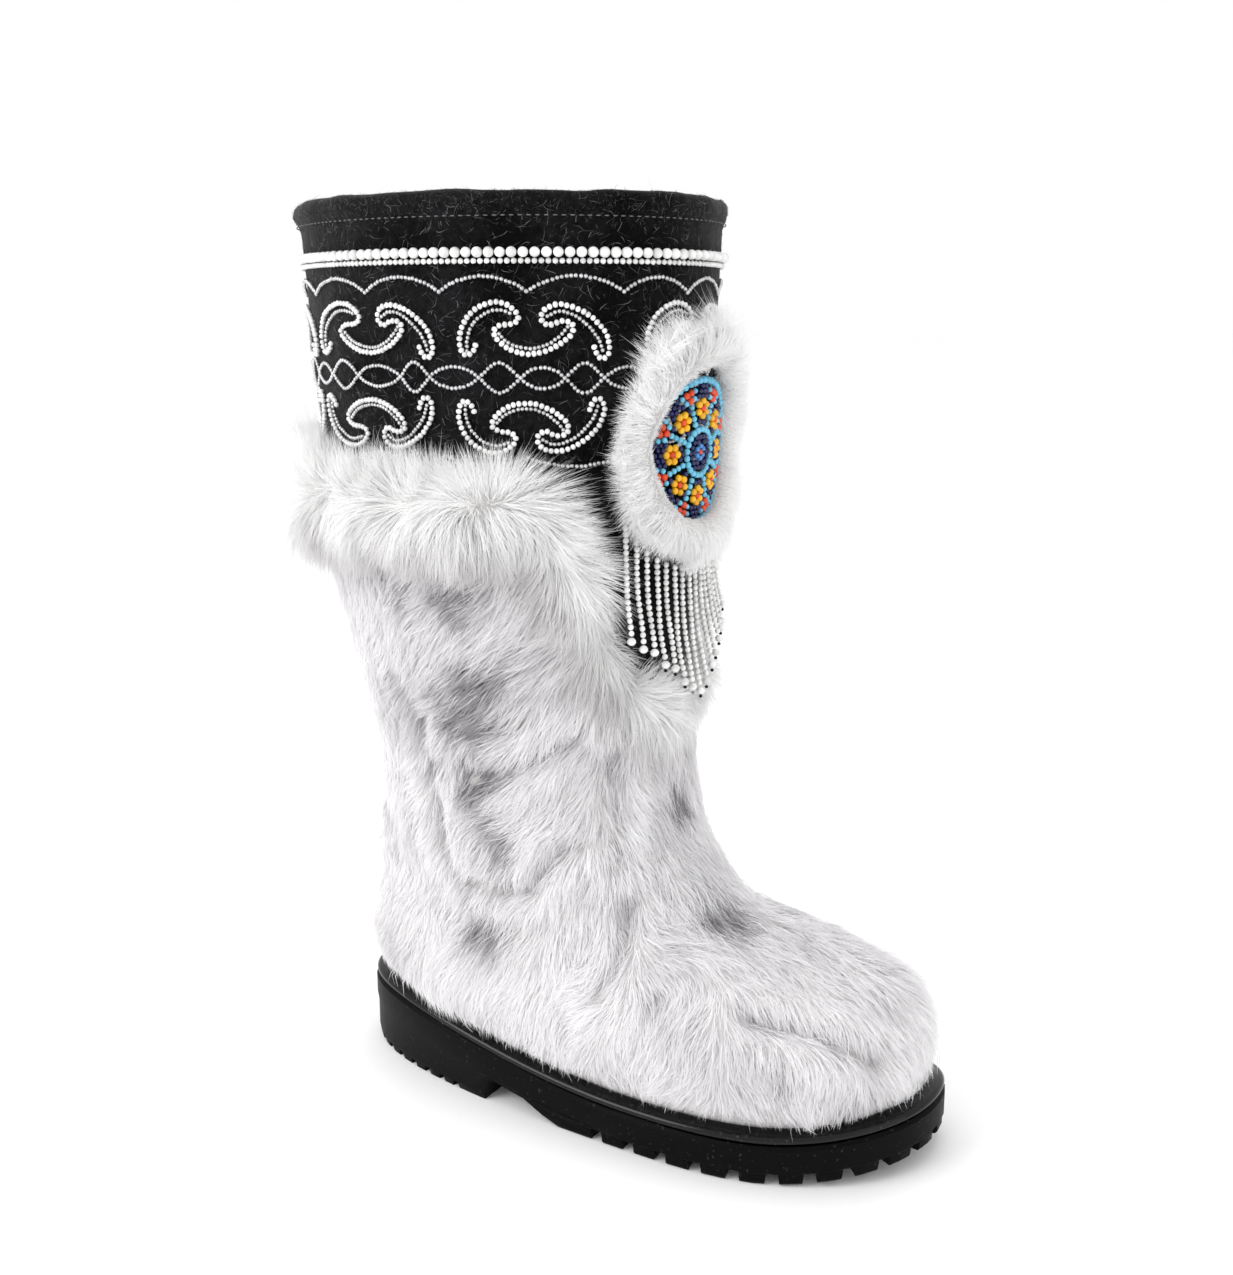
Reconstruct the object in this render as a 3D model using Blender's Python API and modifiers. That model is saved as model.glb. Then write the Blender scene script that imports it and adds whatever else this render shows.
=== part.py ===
# Winter boot, right foot: pelt upper with a felt shaft, a deep fur cuff, a beaded medallion
# with a fringe, and a lugged rubber sole. Metres, +Z up, toe towards +X, outer side towards -Y.
import math
import random

import bmesh
import bpy
from mathutils import Matrix, Vector

# Driving dimensions
SOLE_LENGTH = 0.271
BALL_WIDTH = 0.105
TOE_TURN = 0.0135        # how far the toe tip leans towards the inner side
LEAN_START = 0.60        # share of the length where that lean starts
BOOT_HEIGHT = 0.380
ANKLE_HEIGHT = 0.149
ANKLE_LENGTH = 0.130
ANKLE_WIDTH = 0.104
TOP_LENGTH = 0.187
TOP_WIDTH = 0.151
FOOT_BACK = 0.0015       # how far the foot sits behind the leg's own line
FOOT_OUT = 0.0040        # and how far to its outer side
FOOT_PART = 0.060        # height from which it comes back to the leg's line
CLEARANCE = 0.0003

# Sole
HEEL_TOP = 0.032         # top of the sole's slab at the heel
BALL_TOP = 0.0165        # top of the slab under the ball
TOE_SPRING = 0.008
SPRING_START = 0.78      # share of the length where the toe starts to rise
SPRING_CURVE = 1.8
HEEL_FALL = (0.03, 0.60)  # shares of the length between which the slab comes down to the ball
SLAB_THICKNESS = 0.0115
HEEL_BLOCK_LENGTH = 0.087
FOREFOOT_START = 0.127   # where the tread meets the floor again
BREAST_RUN = 0.003
ARCH_LANDING = 0.020     # length over which the arch comes down to the forefoot
SOLE_WIDEST = 0.66       # share of the length where the ball lies
HEEL_FULLNESS = 2.9      # 2 is a plain oval, more is blunter
TOE_FULLNESS = 2.25
SIDE_STEP = 0.0006
TREAD_CHAMFER = 0.0016
LUG_PITCH = 0.0155
LUG_GAP = 0.0048
LUG_REACH = 0.017
HEEL_LUG_PITCH = 0.0098
HEEL_LUG_GAP = 0.0032
HEEL_LUG_HEIGHT = 0.0032
HEEL_LUG_REACH = 0.010
NOTCH_FLARE = 1.45       # width of a gap at the floor over its width at the root
NOTCH_SPARE = 0.004      # how far its cutter goes past the rubber

# Welt and insole
WELT_WIDTH = 0.0070
WELT_HEIGHT = 0.0066
INSOLE_THICKNESS = 0.0035

# Upper and shaft
PELT_WALL = 0.006
FELT_WALL = 0.004
FELT_EASE = 0.0005       # room between the felt and the pelt that it slips into
FELT_OVERLAP = 0.016     # how far the felt goes down inside the upper
HEM_HEIGHT = 0.0095
HEM_STEP = 0.0013

# Cuff
CUFF_BELOW = 0.119       # from the rim down to its centre line at the side and back
CUFF_DROP = 0.091        # from there down to the bottom of the V
CUFF_HALF_WIDTH = 0.0165
CUFF_THICKNESS = 0.0115
CUFF_LOCK = 0.011

# Beadwork carried by the shaft
PEARL_BELOW = 0.0225      # from the rim down to the band's middle
PEARL_BAND_WIDTH = 0.0068
PEARL_BAND_THICKNESS = 0.0034
PAD_BELOW = 0.0955        # from the rim down to the pad's middle
PAD_TURN = -0.5          # degrees from the front, the outer side being negative
PAD_HALF_WIDTH = 0.046
PAD_HALF_HEIGHT = 0.050
PAD_THICKNESS = 0.0095
PAD_SEAT = 0.0022        # thickness under the rosette
PAD_DOME = 0.0006
PAD_LOCK = 0.008
ROSETTE_RADIUS = 0.0295
ROSETTE_THICKNESS = 0.0024
ROSETTE_RELIEF = 0.0009
STRAND_COUNT = 15
STRAND_WIDTH = 0.0019
STRAND_SPAN = 64.0       # degrees of the shaft that the fringe covers
STRAND_END = 0.0975      # depth of the longest strand's end below the pad's middle
STRAND_RISE = 0.044      # how much higher the outermost strands end
END_BEAD = 0.0036
HEADER_HEIGHT = 0.0030
HEADER_THICKNESS = 0.0024

RING_STEPS = 42
OUTLINE_STEPS = 48
CUFF_STEPS = 52
PEARL_STEPS = 56

# Rings of the foot, from the seam on the sole to the ankle. back, front: shares of the sole's
# length. back_lift, front_lift: shares of the ankle's height over the sole. half: share of the
# ball's width. level: how far the ring has left the sole's own curve for a flat plane.
FOOT_COLUMNS = (
    "back", "back_lift", "front", "front_lift", "half", "widest", "heel_full", "toe_full", "level",
)
FOOT_ROWS = (
    (0.050, 0.000, 0.950, 0.000, 0.368, 0.66, 2.90, 2.25, 0.0),
    (0.049, 0.062, 0.951, 0.060, 0.372, 0.66, 2.90, 2.25, 0.0),
    (0.036, 0.135, 0.950, 0.110, 0.450, 0.66, 2.85, 2.25, 0.4),
    (0.029, 0.225, 0.954, 0.180, 0.475, 0.65, 2.75, 2.25, 0.8),
    (0.029, 0.325, 0.945, 0.258, 0.468, 0.63, 2.60, 2.15, 1.0),
    (0.036, 0.427, 0.910, 0.318, 0.440, 0.58, 2.50, 1.95, 1.0),
    (0.045, 0.521, 0.850, 0.357, 0.412, 0.52, 2.40, 1.80, 1.0),
    (0.054, 0.611, 0.770, 0.396, 0.408, 0.47, 2.35, 1.72, 1.0),
    (0.061, 0.697, 0.692, 0.462, 0.432, 0.45, 2.30, 1.72, 1.0),
    (0.065, 0.778, 0.624, 0.565, 0.460, 0.46, 2.20, 1.85, 1.0),
    (0.065, 0.863, 0.571, 0.705, 0.482, 0.475, 2.10, 1.95, 1.0),
    (0.062, 0.940, 0.544, 0.855, 0.495, 0.49, 2.05, 2.00, 1.0),
)
# Where the upper takes its rings: rows of the table above, then shares from ankle to cuff.
FOOT_LEVELS = (0.0, 1.0, 2.0, 3.0, 3.6, 4.3, 5.0, 5.6, 6.3, 7.0, 7.8, 8.7, 9.7, 11.0)
LEG_SHARES = (0.10, 0.26, 0.44, 0.62, 0.80, 1.00)
# Ovals of the leg. height: share of the way from ankle to rim. centre: share of the sole's
# length. girth: 0 at the ankle's oval, 1 at the rim's.
LEG_COLUMNS = ("height", "centre", "girth")
LEG_ROWS = (
    (0.000, 0.295, 0.000),
    (0.056, 0.291, 0.030),
    (0.121, 0.288, 0.150),
    (0.195, 0.283, 0.289),
    (0.277, 0.279, 0.404),
    (0.360, 0.274, 0.505),
    (0.446, 0.269, 0.630),
    (0.532, 0.264, 0.754),
    (0.675, 0.259, 0.884),
    (0.800, 0.2545, 0.944),
    (0.905, 0.252, 0.978),
    (1.000, 0.253, 1.000),
)
# Where the felt takes its rings, as shares from its low edge to the hem, and the hem's own section.
# height: share of the hem's height. step, wall: shares of its step outwards and of the felt's wall.
FELT_OUTER_SHARES = (0.0, 0.04, 0.08, 0.13, 0.21, 0.34, 0.52, 0.75, 1.0)
FELT_INNER_SHARES = (0.60, 0.25, 0.0)
HEM_COLUMNS = ("height", "step", "wall")
HEM_SECTION = ((0.10, 0.9, 0.0), (0.55, 1.0, 0.0), (0.90, 0.6, 0.0), (1.00, 0.0, 0.35), (0.88, 0.0, 0.90))
# Centre line of the cuff. turn: degrees from the front. drop: share of the V's depth.
# width: share of its half width, narrower down the sides of the V.
CUFF_COLUMNS = ("turn", "drop", "width")
CUFF_ROWS = (
    (0.0, 1.000, 0.54), (17.0, 0.885, 0.56), (33.0, 0.700, 0.58), (41.0, 0.490, 0.55), (46.0, 0.280, 0.62),
    (53.0, 0.100, 0.80), (62.0, 0.025, 0.95), (75.0, 0.000, 1.00), (130.0, 0.010, 1.00), (180.0, 0.030, 1.00),
)
# Section of the cuff. across: share of its half width, up and into the V being positive.
# rise: share of its thickness. over: share of the pelt's wall that lies behind it.
CUFF_SECTION_COLUMNS = ("across", "rise", "over")
CUFF_SECTION = (
    (-0.86, 0.00, 1.0), (0.11, 0.00, 1.0), (0.15, 0.00, 0.0), (0.74, 0.00, 0.0), (1.00, 0.30, 0.01),
    (0.70, 0.86, 0.25), (0.00, 1.00, 1.0), (-0.66, 0.94, 1.0), (-1.00, 0.48, 1.0),
)
# Section of the sole's side. inset: from its outline. lug: share of the way from the tread to the
# slab's underside. slab: share of the slab's thickness.
OUTSOLE_COLUMNS = ("inset", "lug", "slab")
OUTSOLE_SECTION = (
    (TREAD_CHAMFER, 0.00, 0.0), (SIDE_STEP, 0.22, 0.0), (SIDE_STEP, 0.93, 0.0), (0.0, 1.0, 0.04),
    (0.0, 1.0, 0.88), (SIDE_STEP * 2.2, 1.0, 1.0),
)
# Section of the welt. inset: share of its width from the sole's edge. lift: share of its height.
WELT_SECTION_COLUMNS = ("inset", "lift")
WELT_SECTION = (
    (0.19, 0.00), (0.00, 0.20), (0.00, 0.42), (0.20, 0.64), (0.46, 0.59), (1.00, 1.00), (1.00, 0.00),
)
# Section of the pearl band. up: share of its width. out: share of its thickness.
PEARL_COLUMNS = ("up", "out")
PEARL_SECTION = ((-0.5, 0.0), (-0.3, 0.9), (0.3, 1.0), (0.5, 0.0))
# Rings of the pad from its middle to its edge. reach: share of its half width. swell: share of
# the way from the seat's thickness to the full one.
PAD_COLUMNS = ("reach", "swell")
PAD_RINGS = ((0.30, 0.0), (0.66, 0.0), (0.74, 0.75), (0.86, 1.0), (0.95, 0.65))
PAD_EDGE_SWELL = 0.05
# Lower end of a strand. down: share of the end bead's height. bead: 0 at the strand's width, 1 at
# the bead's.
STRAND_COLUMNS = ("down", "bead")
STRAND_SECTION = ((0.0, 0.0), (0.35, 1.0), (0.75, 1.0), (1.0, -0.5))
# Rings of the rosette. reach: share of its radius. lift: share of the relief. flower: 1 where
# the ring crosses the eight flowers.
ROSETTE_COLUMNS = ("reach", "lift", "flower")
ROSETTE_RINGS = (
    (0.14, 1.0, 0.0), (0.28, 0.2, 0.0), (0.36, 0.7, 0.0), (0.46, 0.0, 0.0), (0.64, 0.0, 1.0),
    (0.80, 0.0, 0.0), (0.89, 0.8, 0.0), (0.97, 0.5, 0.0),
)


def named(columns, rows):
    return [dict(zip(columns, row)) for row in rows]


def smooth(rows, key, column, t):
    """Monotone cubic reading of one column of a table at key = t."""
    if t <= rows[0][key]:
        return rows[0][column]
    if t >= rows[-1][key]:
        return rows[-1][column]
    i = max(k for k in range(len(rows) - 1) if rows[k][key] <= t)
    x = [row[key] for row in rows]
    y = [row[column] for row in rows]

    def chord(k):
        return (y[k + 1] - y[k]) / (x[k + 1] - x[k])

    def slope(k):
        if k == 0 or k == len(rows) - 1:
            return chord(min(k, len(rows) - 2))
        before, after = chord(k - 1), chord(k)
        if before * after <= 0.0:
            return 0.0
        return 2.0 * before * after / (before + after)

    h = x[i + 1] - x[i]
    s = (t - x[i]) / h
    return (y[i] * (1 + 2 * s) * (1 - s) ** 2 + h * slope(i) * s * (1 - s) ** 2
            + y[i + 1] * s * s * (3 - 2 * s) + h * slope(i + 1) * s * s * (s - 1))


CUFF_HEIGHT = BOOT_HEIGHT - CUFF_BELOW
PEARL_HEIGHT = BOOT_HEIGHT - PEARL_BELOW
PAD_HEIGHT = BOOT_HEIGHT - PAD_BELOW
FOOT = named(FOOT_COLUMNS, FOOT_ROWS)
for number, foot_row in enumerate(FOOT):
    foot_row["row"] = number
LEG = named(LEG_COLUMNS, LEG_ROWS)
CUFF = named(CUFF_COLUMNS, CUFF_ROWS)


def mix(a, b, t):
    return a + (b - a) * t


def step(low, high, x):
    t = min(1.0, max(0.0, (x - low) / (high - low)))
    return t * t * (3 - 2 * t)


# The sole's heights along its length, u from 0 at the heel to 1 at the toe
def toe_rise(u):
    return TOE_SPRING * max(0.0, (u - SPRING_START) / (1.0 - SPRING_START)) ** SPRING_CURVE


def slab_top(u):
    return mix(HEEL_TOP, BALL_TOP, step(*HEEL_FALL, u)) + toe_rise(u)


def slab_bottom(u):
    return slab_top(u) - SLAB_THICKNESS


def tread(u):
    x = u * SOLE_LENGTH
    if x <= HEEL_BLOCK_LENGTH:
        return 0.0
    if x < FOREFOOT_START:
        arch = slab_bottom(u) - SIDE_STEP * 2
        ramp = min(1.0, (x - HEEL_BLOCK_LENGTH) / BREAST_RUN)
        land = step(FOREFOOT_START - ARCH_LANDING, FOREFOOT_START, x)
        return mix(0.0, arch, ramp) * (1.0 - land)
    return toe_rise(u)


def fullness(u, widest, heel_full, toe_full):
    """Half width of a foot-shaped ring at u, as a share of its largest."""
    if u < widest:
        t, n = (widest - u) / widest, heel_full
    else:
        t, n = (u - widest) / (1.0 - widest), toe_full
    return max(0.0, 1.0 - min(1.0, t) ** n) ** (1.0 / n)


def toe_lean(x):
    """Sideways lean of the sole's middle line, which starts a little behind the ball."""
    return TOE_TURN * max(0.0, (x / SOLE_LENGTH - LEAN_START) / (1.0 - LEAN_START)) ** 2


def foot_shift(z):
    """The foot's place against the leg, fading out at the ankle."""
    return Vector((-FOOT_BACK, -FOOT_OUT, 0.0)) * (1.0 - step(FOOT_PART, ANKLE_HEIGHT, z))


def ring_point(row, turn):
    """Point of a foot ring at a turn, 0 at the front and negative on the outer side."""
    u = 0.5 + 0.5 * math.cos(turn)
    x = mix(row["back"], row["front"], u) * SOLE_LENGTH
    half = row["half"] * BALL_WIDTH * fullness(u, row["widest"], row["heel_full"], row["toe_full"])
    back_rise = ANKLE_HEIGHT - slab_top(0.0)
    front_rise = ANKLE_HEIGHT - slab_top(1.0)
    lift = mix(row["back_lift"] * back_rise, row["front_lift"] * front_rise, u)
    flat = mix(slab_top(0.0), slab_top(1.0), u)
    z = mix(slab_top(x / SOLE_LENGTH), flat, row["level"]) + lift
    side = math.copysign(1.0, math.sin(turn))
    return Vector((x, side * half + toe_lean(x), z + CLEARANCE)) + foot_shift(z)


def leg_oval(z):
    share = (z - ANKLE_HEIGHT) / (BOOT_HEIGHT - ANKLE_HEIGHT)
    girth = smooth(LEG, "height", "girth", share)
    centre = smooth(LEG, "height", "centre", share) * SOLE_LENGTH
    return centre, mix(ANKLE_LENGTH, TOP_LENGTH, girth) / 2, mix(ANKLE_WIDTH, TOP_WIDTH, girth) / 2


def leg_point(turn, z, out=0.0):
    """Point on the leg, out metres off the felt's line along the level normal."""
    centre, long, wide = leg_oval(z)
    normal = Vector((math.cos(turn) * wide, math.sin(turn) * long, 0.0)).normalized()
    point = Vector((centre + long * math.cos(turn), wide * math.sin(turn), z))
    return point + normal * out


def leg_speed(turn, z):
    """Metres along the leg for each radian of turn."""
    centre, long, wide = leg_oval(z)
    return math.hypot(long * math.sin(turn), wide * math.cos(turn))


def leg_across(turn, distance, z, steps=12):
    """The turn that lies a distance along the leg from another."""
    for count in range(steps):
        turn += distance / steps / leg_speed(turn, z)
    return turn


def from_front(turn):
    return abs(math.degrees(math.remainder(turn, math.tau)))


def cuff_line(turn):
    return CUFF_HEIGHT - CUFF_DROP * smooth(CUFF, "turn", "drop", from_front(turn))


def cuff_half_width(turn):
    return CUFF_HALF_WIDTH * smooth(CUFF, "turn", "width", from_front(turn))


def sole_point(turn, inset):
    """Point of the sole's outline, inset metres inwards along its normal."""
    def edge(t):
        u = 0.5 + 0.5 * math.cos(t)
        half = BALL_WIDTH / 2 * fullness(u, SOLE_WIDEST, HEEL_FULLNESS, TOE_FULLNESS)
        x = u * SOLE_LENGTH
        return Vector((x, math.copysign(half, math.sin(t)) + toe_lean(x), 0.0)) + foot_shift(0.0)

    small = 0.01
    along = edge(turn + small) - edge(turn - small)
    inward = Vector((-along.y, along.x, 0.0)).normalized()
    return edge(turn) + inward * inset


# Making meshes
def material(name, colour, roughness):
    made = bpy.data.materials.new(name)
    made.use_nodes = True
    shader = made.node_tree.nodes["Principled BSDF"]
    shader.inputs["Base Color"].default_value = (*colour, 1.0)
    shader.inputs["Roughness"].default_value = roughness
    shader.inputs["Metallic"].default_value = 0.0
    return made


def finish(name, bm, collection, finish_material, parent):
    bmesh.ops.recalc_face_normals(bm, faces=bm.faces)
    mesh = bpy.data.meshes.new(name)
    bm.to_mesh(mesh)
    bm.free()
    made = bpy.data.objects.new(name, mesh)
    collection.objects.link(made)
    made.parent = parent
    mesh.shade_smooth()
    mesh.set_sharp_from_angle(angle=math.radians(40))
    if finish_material:
        mesh.materials.append(finish_material)
    return made


def loft(bm, rings, closed_ring=True):
    """Quads between rings of equal count; returns the grid of vertices."""
    grid = [[bm.verts.new(point) for point in ring] for ring in rings]
    count = len(grid[0])
    for low, high in zip(grid, grid[1:]):
        for i in range(count if closed_ring else count - 1):
            j = (i + 1) % count
            bm.faces.new((low[i], low[j], high[j], high[i]))
    return grid


def close_rings(bm, grid):
    """Joins the last ring to the first, as in a band that goes round."""
    count = len(grid[0])
    for i in range(count):
        j = (i + 1) % count
        bm.faces.new((grid[-1][i], grid[-1][j], grid[0][j], grid[0][i]))


def ladder(bm, ring):
    """Closes a ring with cross strips, point i facing point -i."""
    half = len(ring) // 2
    bm.faces.new((ring[0], ring[1], ring[-1]))
    bm.faces.new((ring[half - 1], ring[half], ring[half + 1]))
    for i in range(1, half - 1):
        bm.faces.new((ring[i], ring[i + 1], ring[-i - 1], ring[-i]))


def pull_locks(bm, faces, reach, taper, rng):
    """Draws each face out into a lock; reach gives the way of its tip."""
    drawn = bmesh.ops.extrude_discrete_faces(bm, faces=faces)["faces"]
    for face in drawn:
        middle = face.calc_center_median()
        way = reach(middle, face.normal) * rng.uniform(0.6, 1.1)
        for vert in face.verts:
            vert.co = middle + (vert.co - middle) * taper + way


def even_turns(count):
    return [math.tau * i / count for i in range(count)]


def turn_at(x):
    return math.acos(2 * x / SOLE_LENGTH - 1)


def breast_turns(steps=30, apart=0.035):
    """Turns of the sole's outline, with a close pair at the breast and three on the landing."""
    wanted = [HEEL_BLOCK_LENGTH, HEEL_BLOCK_LENGTH + BREAST_RUN, FOREFOOT_START - ARCH_LANDING * 0.9,
              FOREFOOT_START - ARCH_LANDING * 0.45, FOREFOOT_START]
    special = [turn_at(x) for x in wanted]
    half = [math.pi * i / steps for i in range(steps + 1)]
    spaced = [t for t in half if min(abs(t - s) for s in special) > apart]
    upper_half = sorted(spaced + special)
    return upper_half + [math.tau - t for t in reversed(upper_half[1:-1])]


def notch(name, turn, gap, height, reach, foot, cutters, parent):
    """A wedge that cuts one gap between lugs, wider at the floor."""
    outer = sole_point(turn, -NOTCH_SPARE)
    inner = sole_point(turn, reach)
    way = (inner - outer).normalized()
    bm = bmesh.new()
    bmesh.ops.create_cube(bm, size=1.0)
    for vert in bm.verts:
        spread = 1.0 if vert.co.z > 0 else NOTCH_FLARE
        vert.co = Vector((vert.co.x * (inner - outer).length, vert.co.y * gap * spread,
                          vert.co.z * (height + NOTCH_SPARE) + (height - NOTCH_SPARE) / 2))
    turned = Matrix.Rotation(math.atan2(way.y, way.x), 4, "Z")
    middle = (outer + inner) / 2
    bmesh.ops.transform(bm, matrix=Matrix.Translation((middle.x, middle.y, foot)) @ turned, verts=bm.verts)
    cutter = finish(name, bm, cutters, None, parent)
    cutter.hide_render = True
    cutter.display_type = "WIRE"
    return cutter


def outline_run(first, last, pitch):
    """Turns spaced a pitch apart along the sole's outline."""
    found = []
    turn, walked = first, 0.0
    fine = math.radians(0.5)
    while turn < last:
        walked += (sole_point(turn + fine, 0.0) - sole_point(turn, 0.0)).length
        turn += fine
        if walked >= pitch:
            walked -= pitch
            found.append(turn)
    return found


def lug_notches(cutters, parent):
    fore = turn_at(FOREFOOT_START + LUG_PITCH * 0.2)
    heel = turn_at(HEEL_BLOCK_LENGTH - HEEL_LUG_PITCH)
    made = []
    for number, turn in enumerate(outline_run(-fore, fore, LUG_PITCH)):
        u = 0.5 + 0.5 * math.cos(turn)
        root = slab_bottom(u) - tread(u)
        made.append(notch(f"notch_fore_{number}", turn, LUG_GAP, root, LUG_REACH, tread(u), cutters, parent))
    for number, turn in enumerate(outline_run(heel, math.tau - heel, HEEL_LUG_PITCH)):
        made.append(notch(f"notch_heel_{number}", turn, HEEL_LUG_GAP, HEEL_LUG_HEIGHT, HEEL_LUG_REACH, 0.0,
                          cutters, parent))
    return made


def outsole(collection, cutters, parent):
    turns = breast_turns()
    rings = []
    for row in named(OUTSOLE_COLUMNS, OUTSOLE_SECTION):
        ring = []
        for turn in turns:
            u = 0.5 + 0.5 * math.cos(turn)
            point = sole_point(turn, row["inset"])
            point.z = mix(mix(tread(u), slab_bottom(u), row["lug"]), slab_top(u), row["slab"])
            ring.append(point)
        rings.append(ring)
    bm = bmesh.new()
    grid = loft(bm, rings)
    ladder(bm, grid[0])
    ladder(bm, grid[-1])
    made = finish("outsole", bm, collection, material("moulded_rubber", (0.012, 0.012, 0.013), 0.55), parent)
    for cutter in lug_notches(cutters, parent):
        cut = made.modifiers.new(cutter.name, "BOOLEAN")
        cut.operation = "DIFFERENCE"
        cut.object = cutter
    return made


def welt(collection, parent):
    rings = []
    for row in named(WELT_SECTION_COLUMNS, WELT_SECTION):
        ring = []
        for turn in even_turns(OUTLINE_STEPS):
            point = sole_point(turn, row["inset"] * WELT_WIDTH)
            u = 0.5 + 0.5 * math.cos(turn)
            point.z = slab_top(u) + CLEARANCE + row["lift"] * (WELT_HEIGHT - CLEARANCE)
            ring.append(point)
        rings.append(ring)
    bm = bmesh.new()
    close_rings(bm, loft(bm, rings))
    return finish("welt", bm, collection, material("glossy_rubber", (0.010, 0.010, 0.011), 0.25), parent)


def insole(collection, parent):
    rings = []
    for lift in (0.0, INSOLE_THICKNESS):
        ring = []
        for turn in even_turns(OUTLINE_STEPS):
            point = sole_point(turn, WELT_WIDTH + PELT_WALL + CLEARANCE * 4)
            u = 0.5 + 0.5 * math.cos(turn)
            point.z = slab_top(u) + CLEARANCE + lift
            ring.append(point)
        rings.append(ring)
    bm = bmesh.new()
    grid = loft(bm, rings)
    ladder(bm, grid[0])
    ladder(bm, grid[-1])
    return finish("insole", bm, collection, material("insole_felt", (0.30, 0.29, 0.28), 0.95), parent)


def upper(collection, parent):
    """The pelt's inner face from seam to collar; Solidify gives it its wall outwards."""
    turns = even_turns(RING_STEPS)
    rings = []
    for level in FOOT_LEVELS:
        row = {column: smooth(FOOT, "row", column, level) for column in FOOT_COLUMNS}
        if level <= 1.0:
            ring = []
            for turn in turns:
                point = sole_point(turn, WELT_WIDTH + PELT_WALL + CLEARANCE)
                u = 0.5 + 0.5 * math.cos(turn)
                point.z = slab_top(u) + CLEARANCE + level * (WELT_HEIGHT + PELT_WALL / 2)
                ring.append(point)
        else:
            ring = [ring_point(row, turn) for turn in turns]
        rings.append(ring)
    for share in LEG_SHARES:
        rings.append([leg_point(turn, mix(ANKLE_HEIGHT, cuff_line(turn), share)) for turn in turns])
    bm = bmesh.new()
    loft(bm, rings)
    made = finish("upper", bm, collection, material("pelt", (0.78, 0.76, 0.76), 0.8), parent)
    wall = made.modifiers.new("wall", "SOLIDIFY")
    wall.thickness = PELT_WALL
    wall.offset = 1.0
    return made


def shaft(collection, parent):
    """A closed section that goes up the felt's outer face, over the hem and down the inner face."""
    turns = even_turns(RING_STEPS)
    hem = BOOT_HEIGHT - HEM_HEIGHT

    def wall_ring(share, out):
        ring = []
        for turn in turns:
            low = max(ANKLE_HEIGHT, cuff_line(turn) - FELT_OVERLAP)
            ring.append(leg_point(turn, mix(low, hem, share), out))
        return ring

    rings = [wall_ring(share, -FELT_EASE) for share in FELT_OUTER_SHARES]
    for row in named(HEM_COLUMNS, HEM_SECTION):
        out = row["step"] * HEM_STEP - row["wall"] * FELT_WALL
        rings.append([leg_point(turn, hem + row["height"] * HEM_HEIGHT, out) for turn in turns])
    rings += [wall_ring(share, -FELT_WALL) for share in FELT_INNER_SHARES]
    bm = bmesh.new()
    close_rings(bm, loft(bm, rings))
    return finish("shaft", bm, collection, material("wool_felt", (0.018, 0.018, 0.020), 0.95), parent)


def cuff_point(turn, across, out):
    """Point beside the cuff's centre line, across metres up and into the V."""
    small = 0.02
    z = cuff_line(turn)
    along = leg_speed(turn, z) * 2 * small
    rise = cuff_line(turn + small) - cuff_line(turn - small)
    length = math.hypot(along, rise)
    side, up = -rise / length, along / length
    moved = turn + across * side / leg_speed(turn, z)
    return leg_point(moved, z + across * up, out)


def cuff(collection, parent):
    rng = random.Random(4)
    rings = []
    for row in named(CUFF_SECTION_COLUMNS, CUFF_SECTION):
        out = CLEARANCE + row["over"] * (PELT_WALL + 2 * CLEARANCE) + row["rise"] * CUFF_THICKNESS
        rings.append([cuff_point(turn, row["across"] * cuff_half_width(turn), out)
                      for turn in even_turns(CUFF_STEPS)])
    bm = bmesh.new()
    grid = loft(bm, rings)
    close_rings(bm, grid)
    bmesh.ops.recalc_face_normals(bm, faces=bm.faces)
    low_rim = {vert for ring in grid[-3:] for vert in ring}
    high_rim = {vert for ring in grid[4:7] for vert in ring}
    hanging = [face for face in bm.faces if all(vert in low_rim for vert in face.verts)]
    standing = [face for face in bm.faces
                if all(vert in high_rim for vert in face.verts) and face.calc_center_median().z > CUFF_HEIGHT]
    down = Vector((0.0, 0.0, -1.0))

    def hang(middle, normal):
        side = 1.0 - max(0.0, CUFF_HEIGHT - middle.z - CUFF_HALF_WIDTH) / CUFF_DROP
        return (normal * 0.35 + down) * CUFF_LOCK * mix(0.5, 1.0, side)

    pull_locks(bm, hanging, hang, 0.3, rng)
    pull_locks(bm, standing[::2], lambda middle, normal: (normal + down * 0.3) * CUFF_LOCK * 0.45, 0.4, rng)
    return finish("cuff", bm, collection, material("deep_fur", (0.86, 0.86, 0.87), 0.8), parent)


def pearl_band(collection, parent):
    rings = []
    for row in named(PEARL_COLUMNS, PEARL_SECTION):
        z = PEARL_HEIGHT + row["up"] * PEARL_BAND_WIDTH
        out = CLEARANCE + row["out"] * PEARL_BAND_THICKNESS
        rings.append([leg_point(turn, z, out) for turn in even_turns(PEARL_STEPS)])
    bm = bmesh.new()
    close_rings(bm, loft(bm, rings))
    return finish("pearl_band", bm, collection, material("white_beads", (0.85, 0.85, 0.86), 0.3), parent)


def pad_point(across, up, out):
    """Point on the front of the shaft, across towards the inner side and up from the pad's middle."""
    z = PAD_HEIGHT + up
    return leg_point(leg_across(math.radians(PAD_TURN), across, z), z, out)


def dome(reach):
    """Rise of the pad's seat over its rim, reach being a share of the rosette's radius."""
    return PAD_DOME * max(0.0, 1.0 - reach * reach)


def disc(bm, middle, rings):
    """Closes a lofted cap: a fan to the middle, and the grid of its rings."""
    grid = loft(bm, rings)
    centre = bm.verts.new(middle)
    for i in range(len(grid[0])):
        bm.faces.new((centre, grid[0][(i + 1) % len(grid[0])], grid[0][i]))
    return grid


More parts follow.
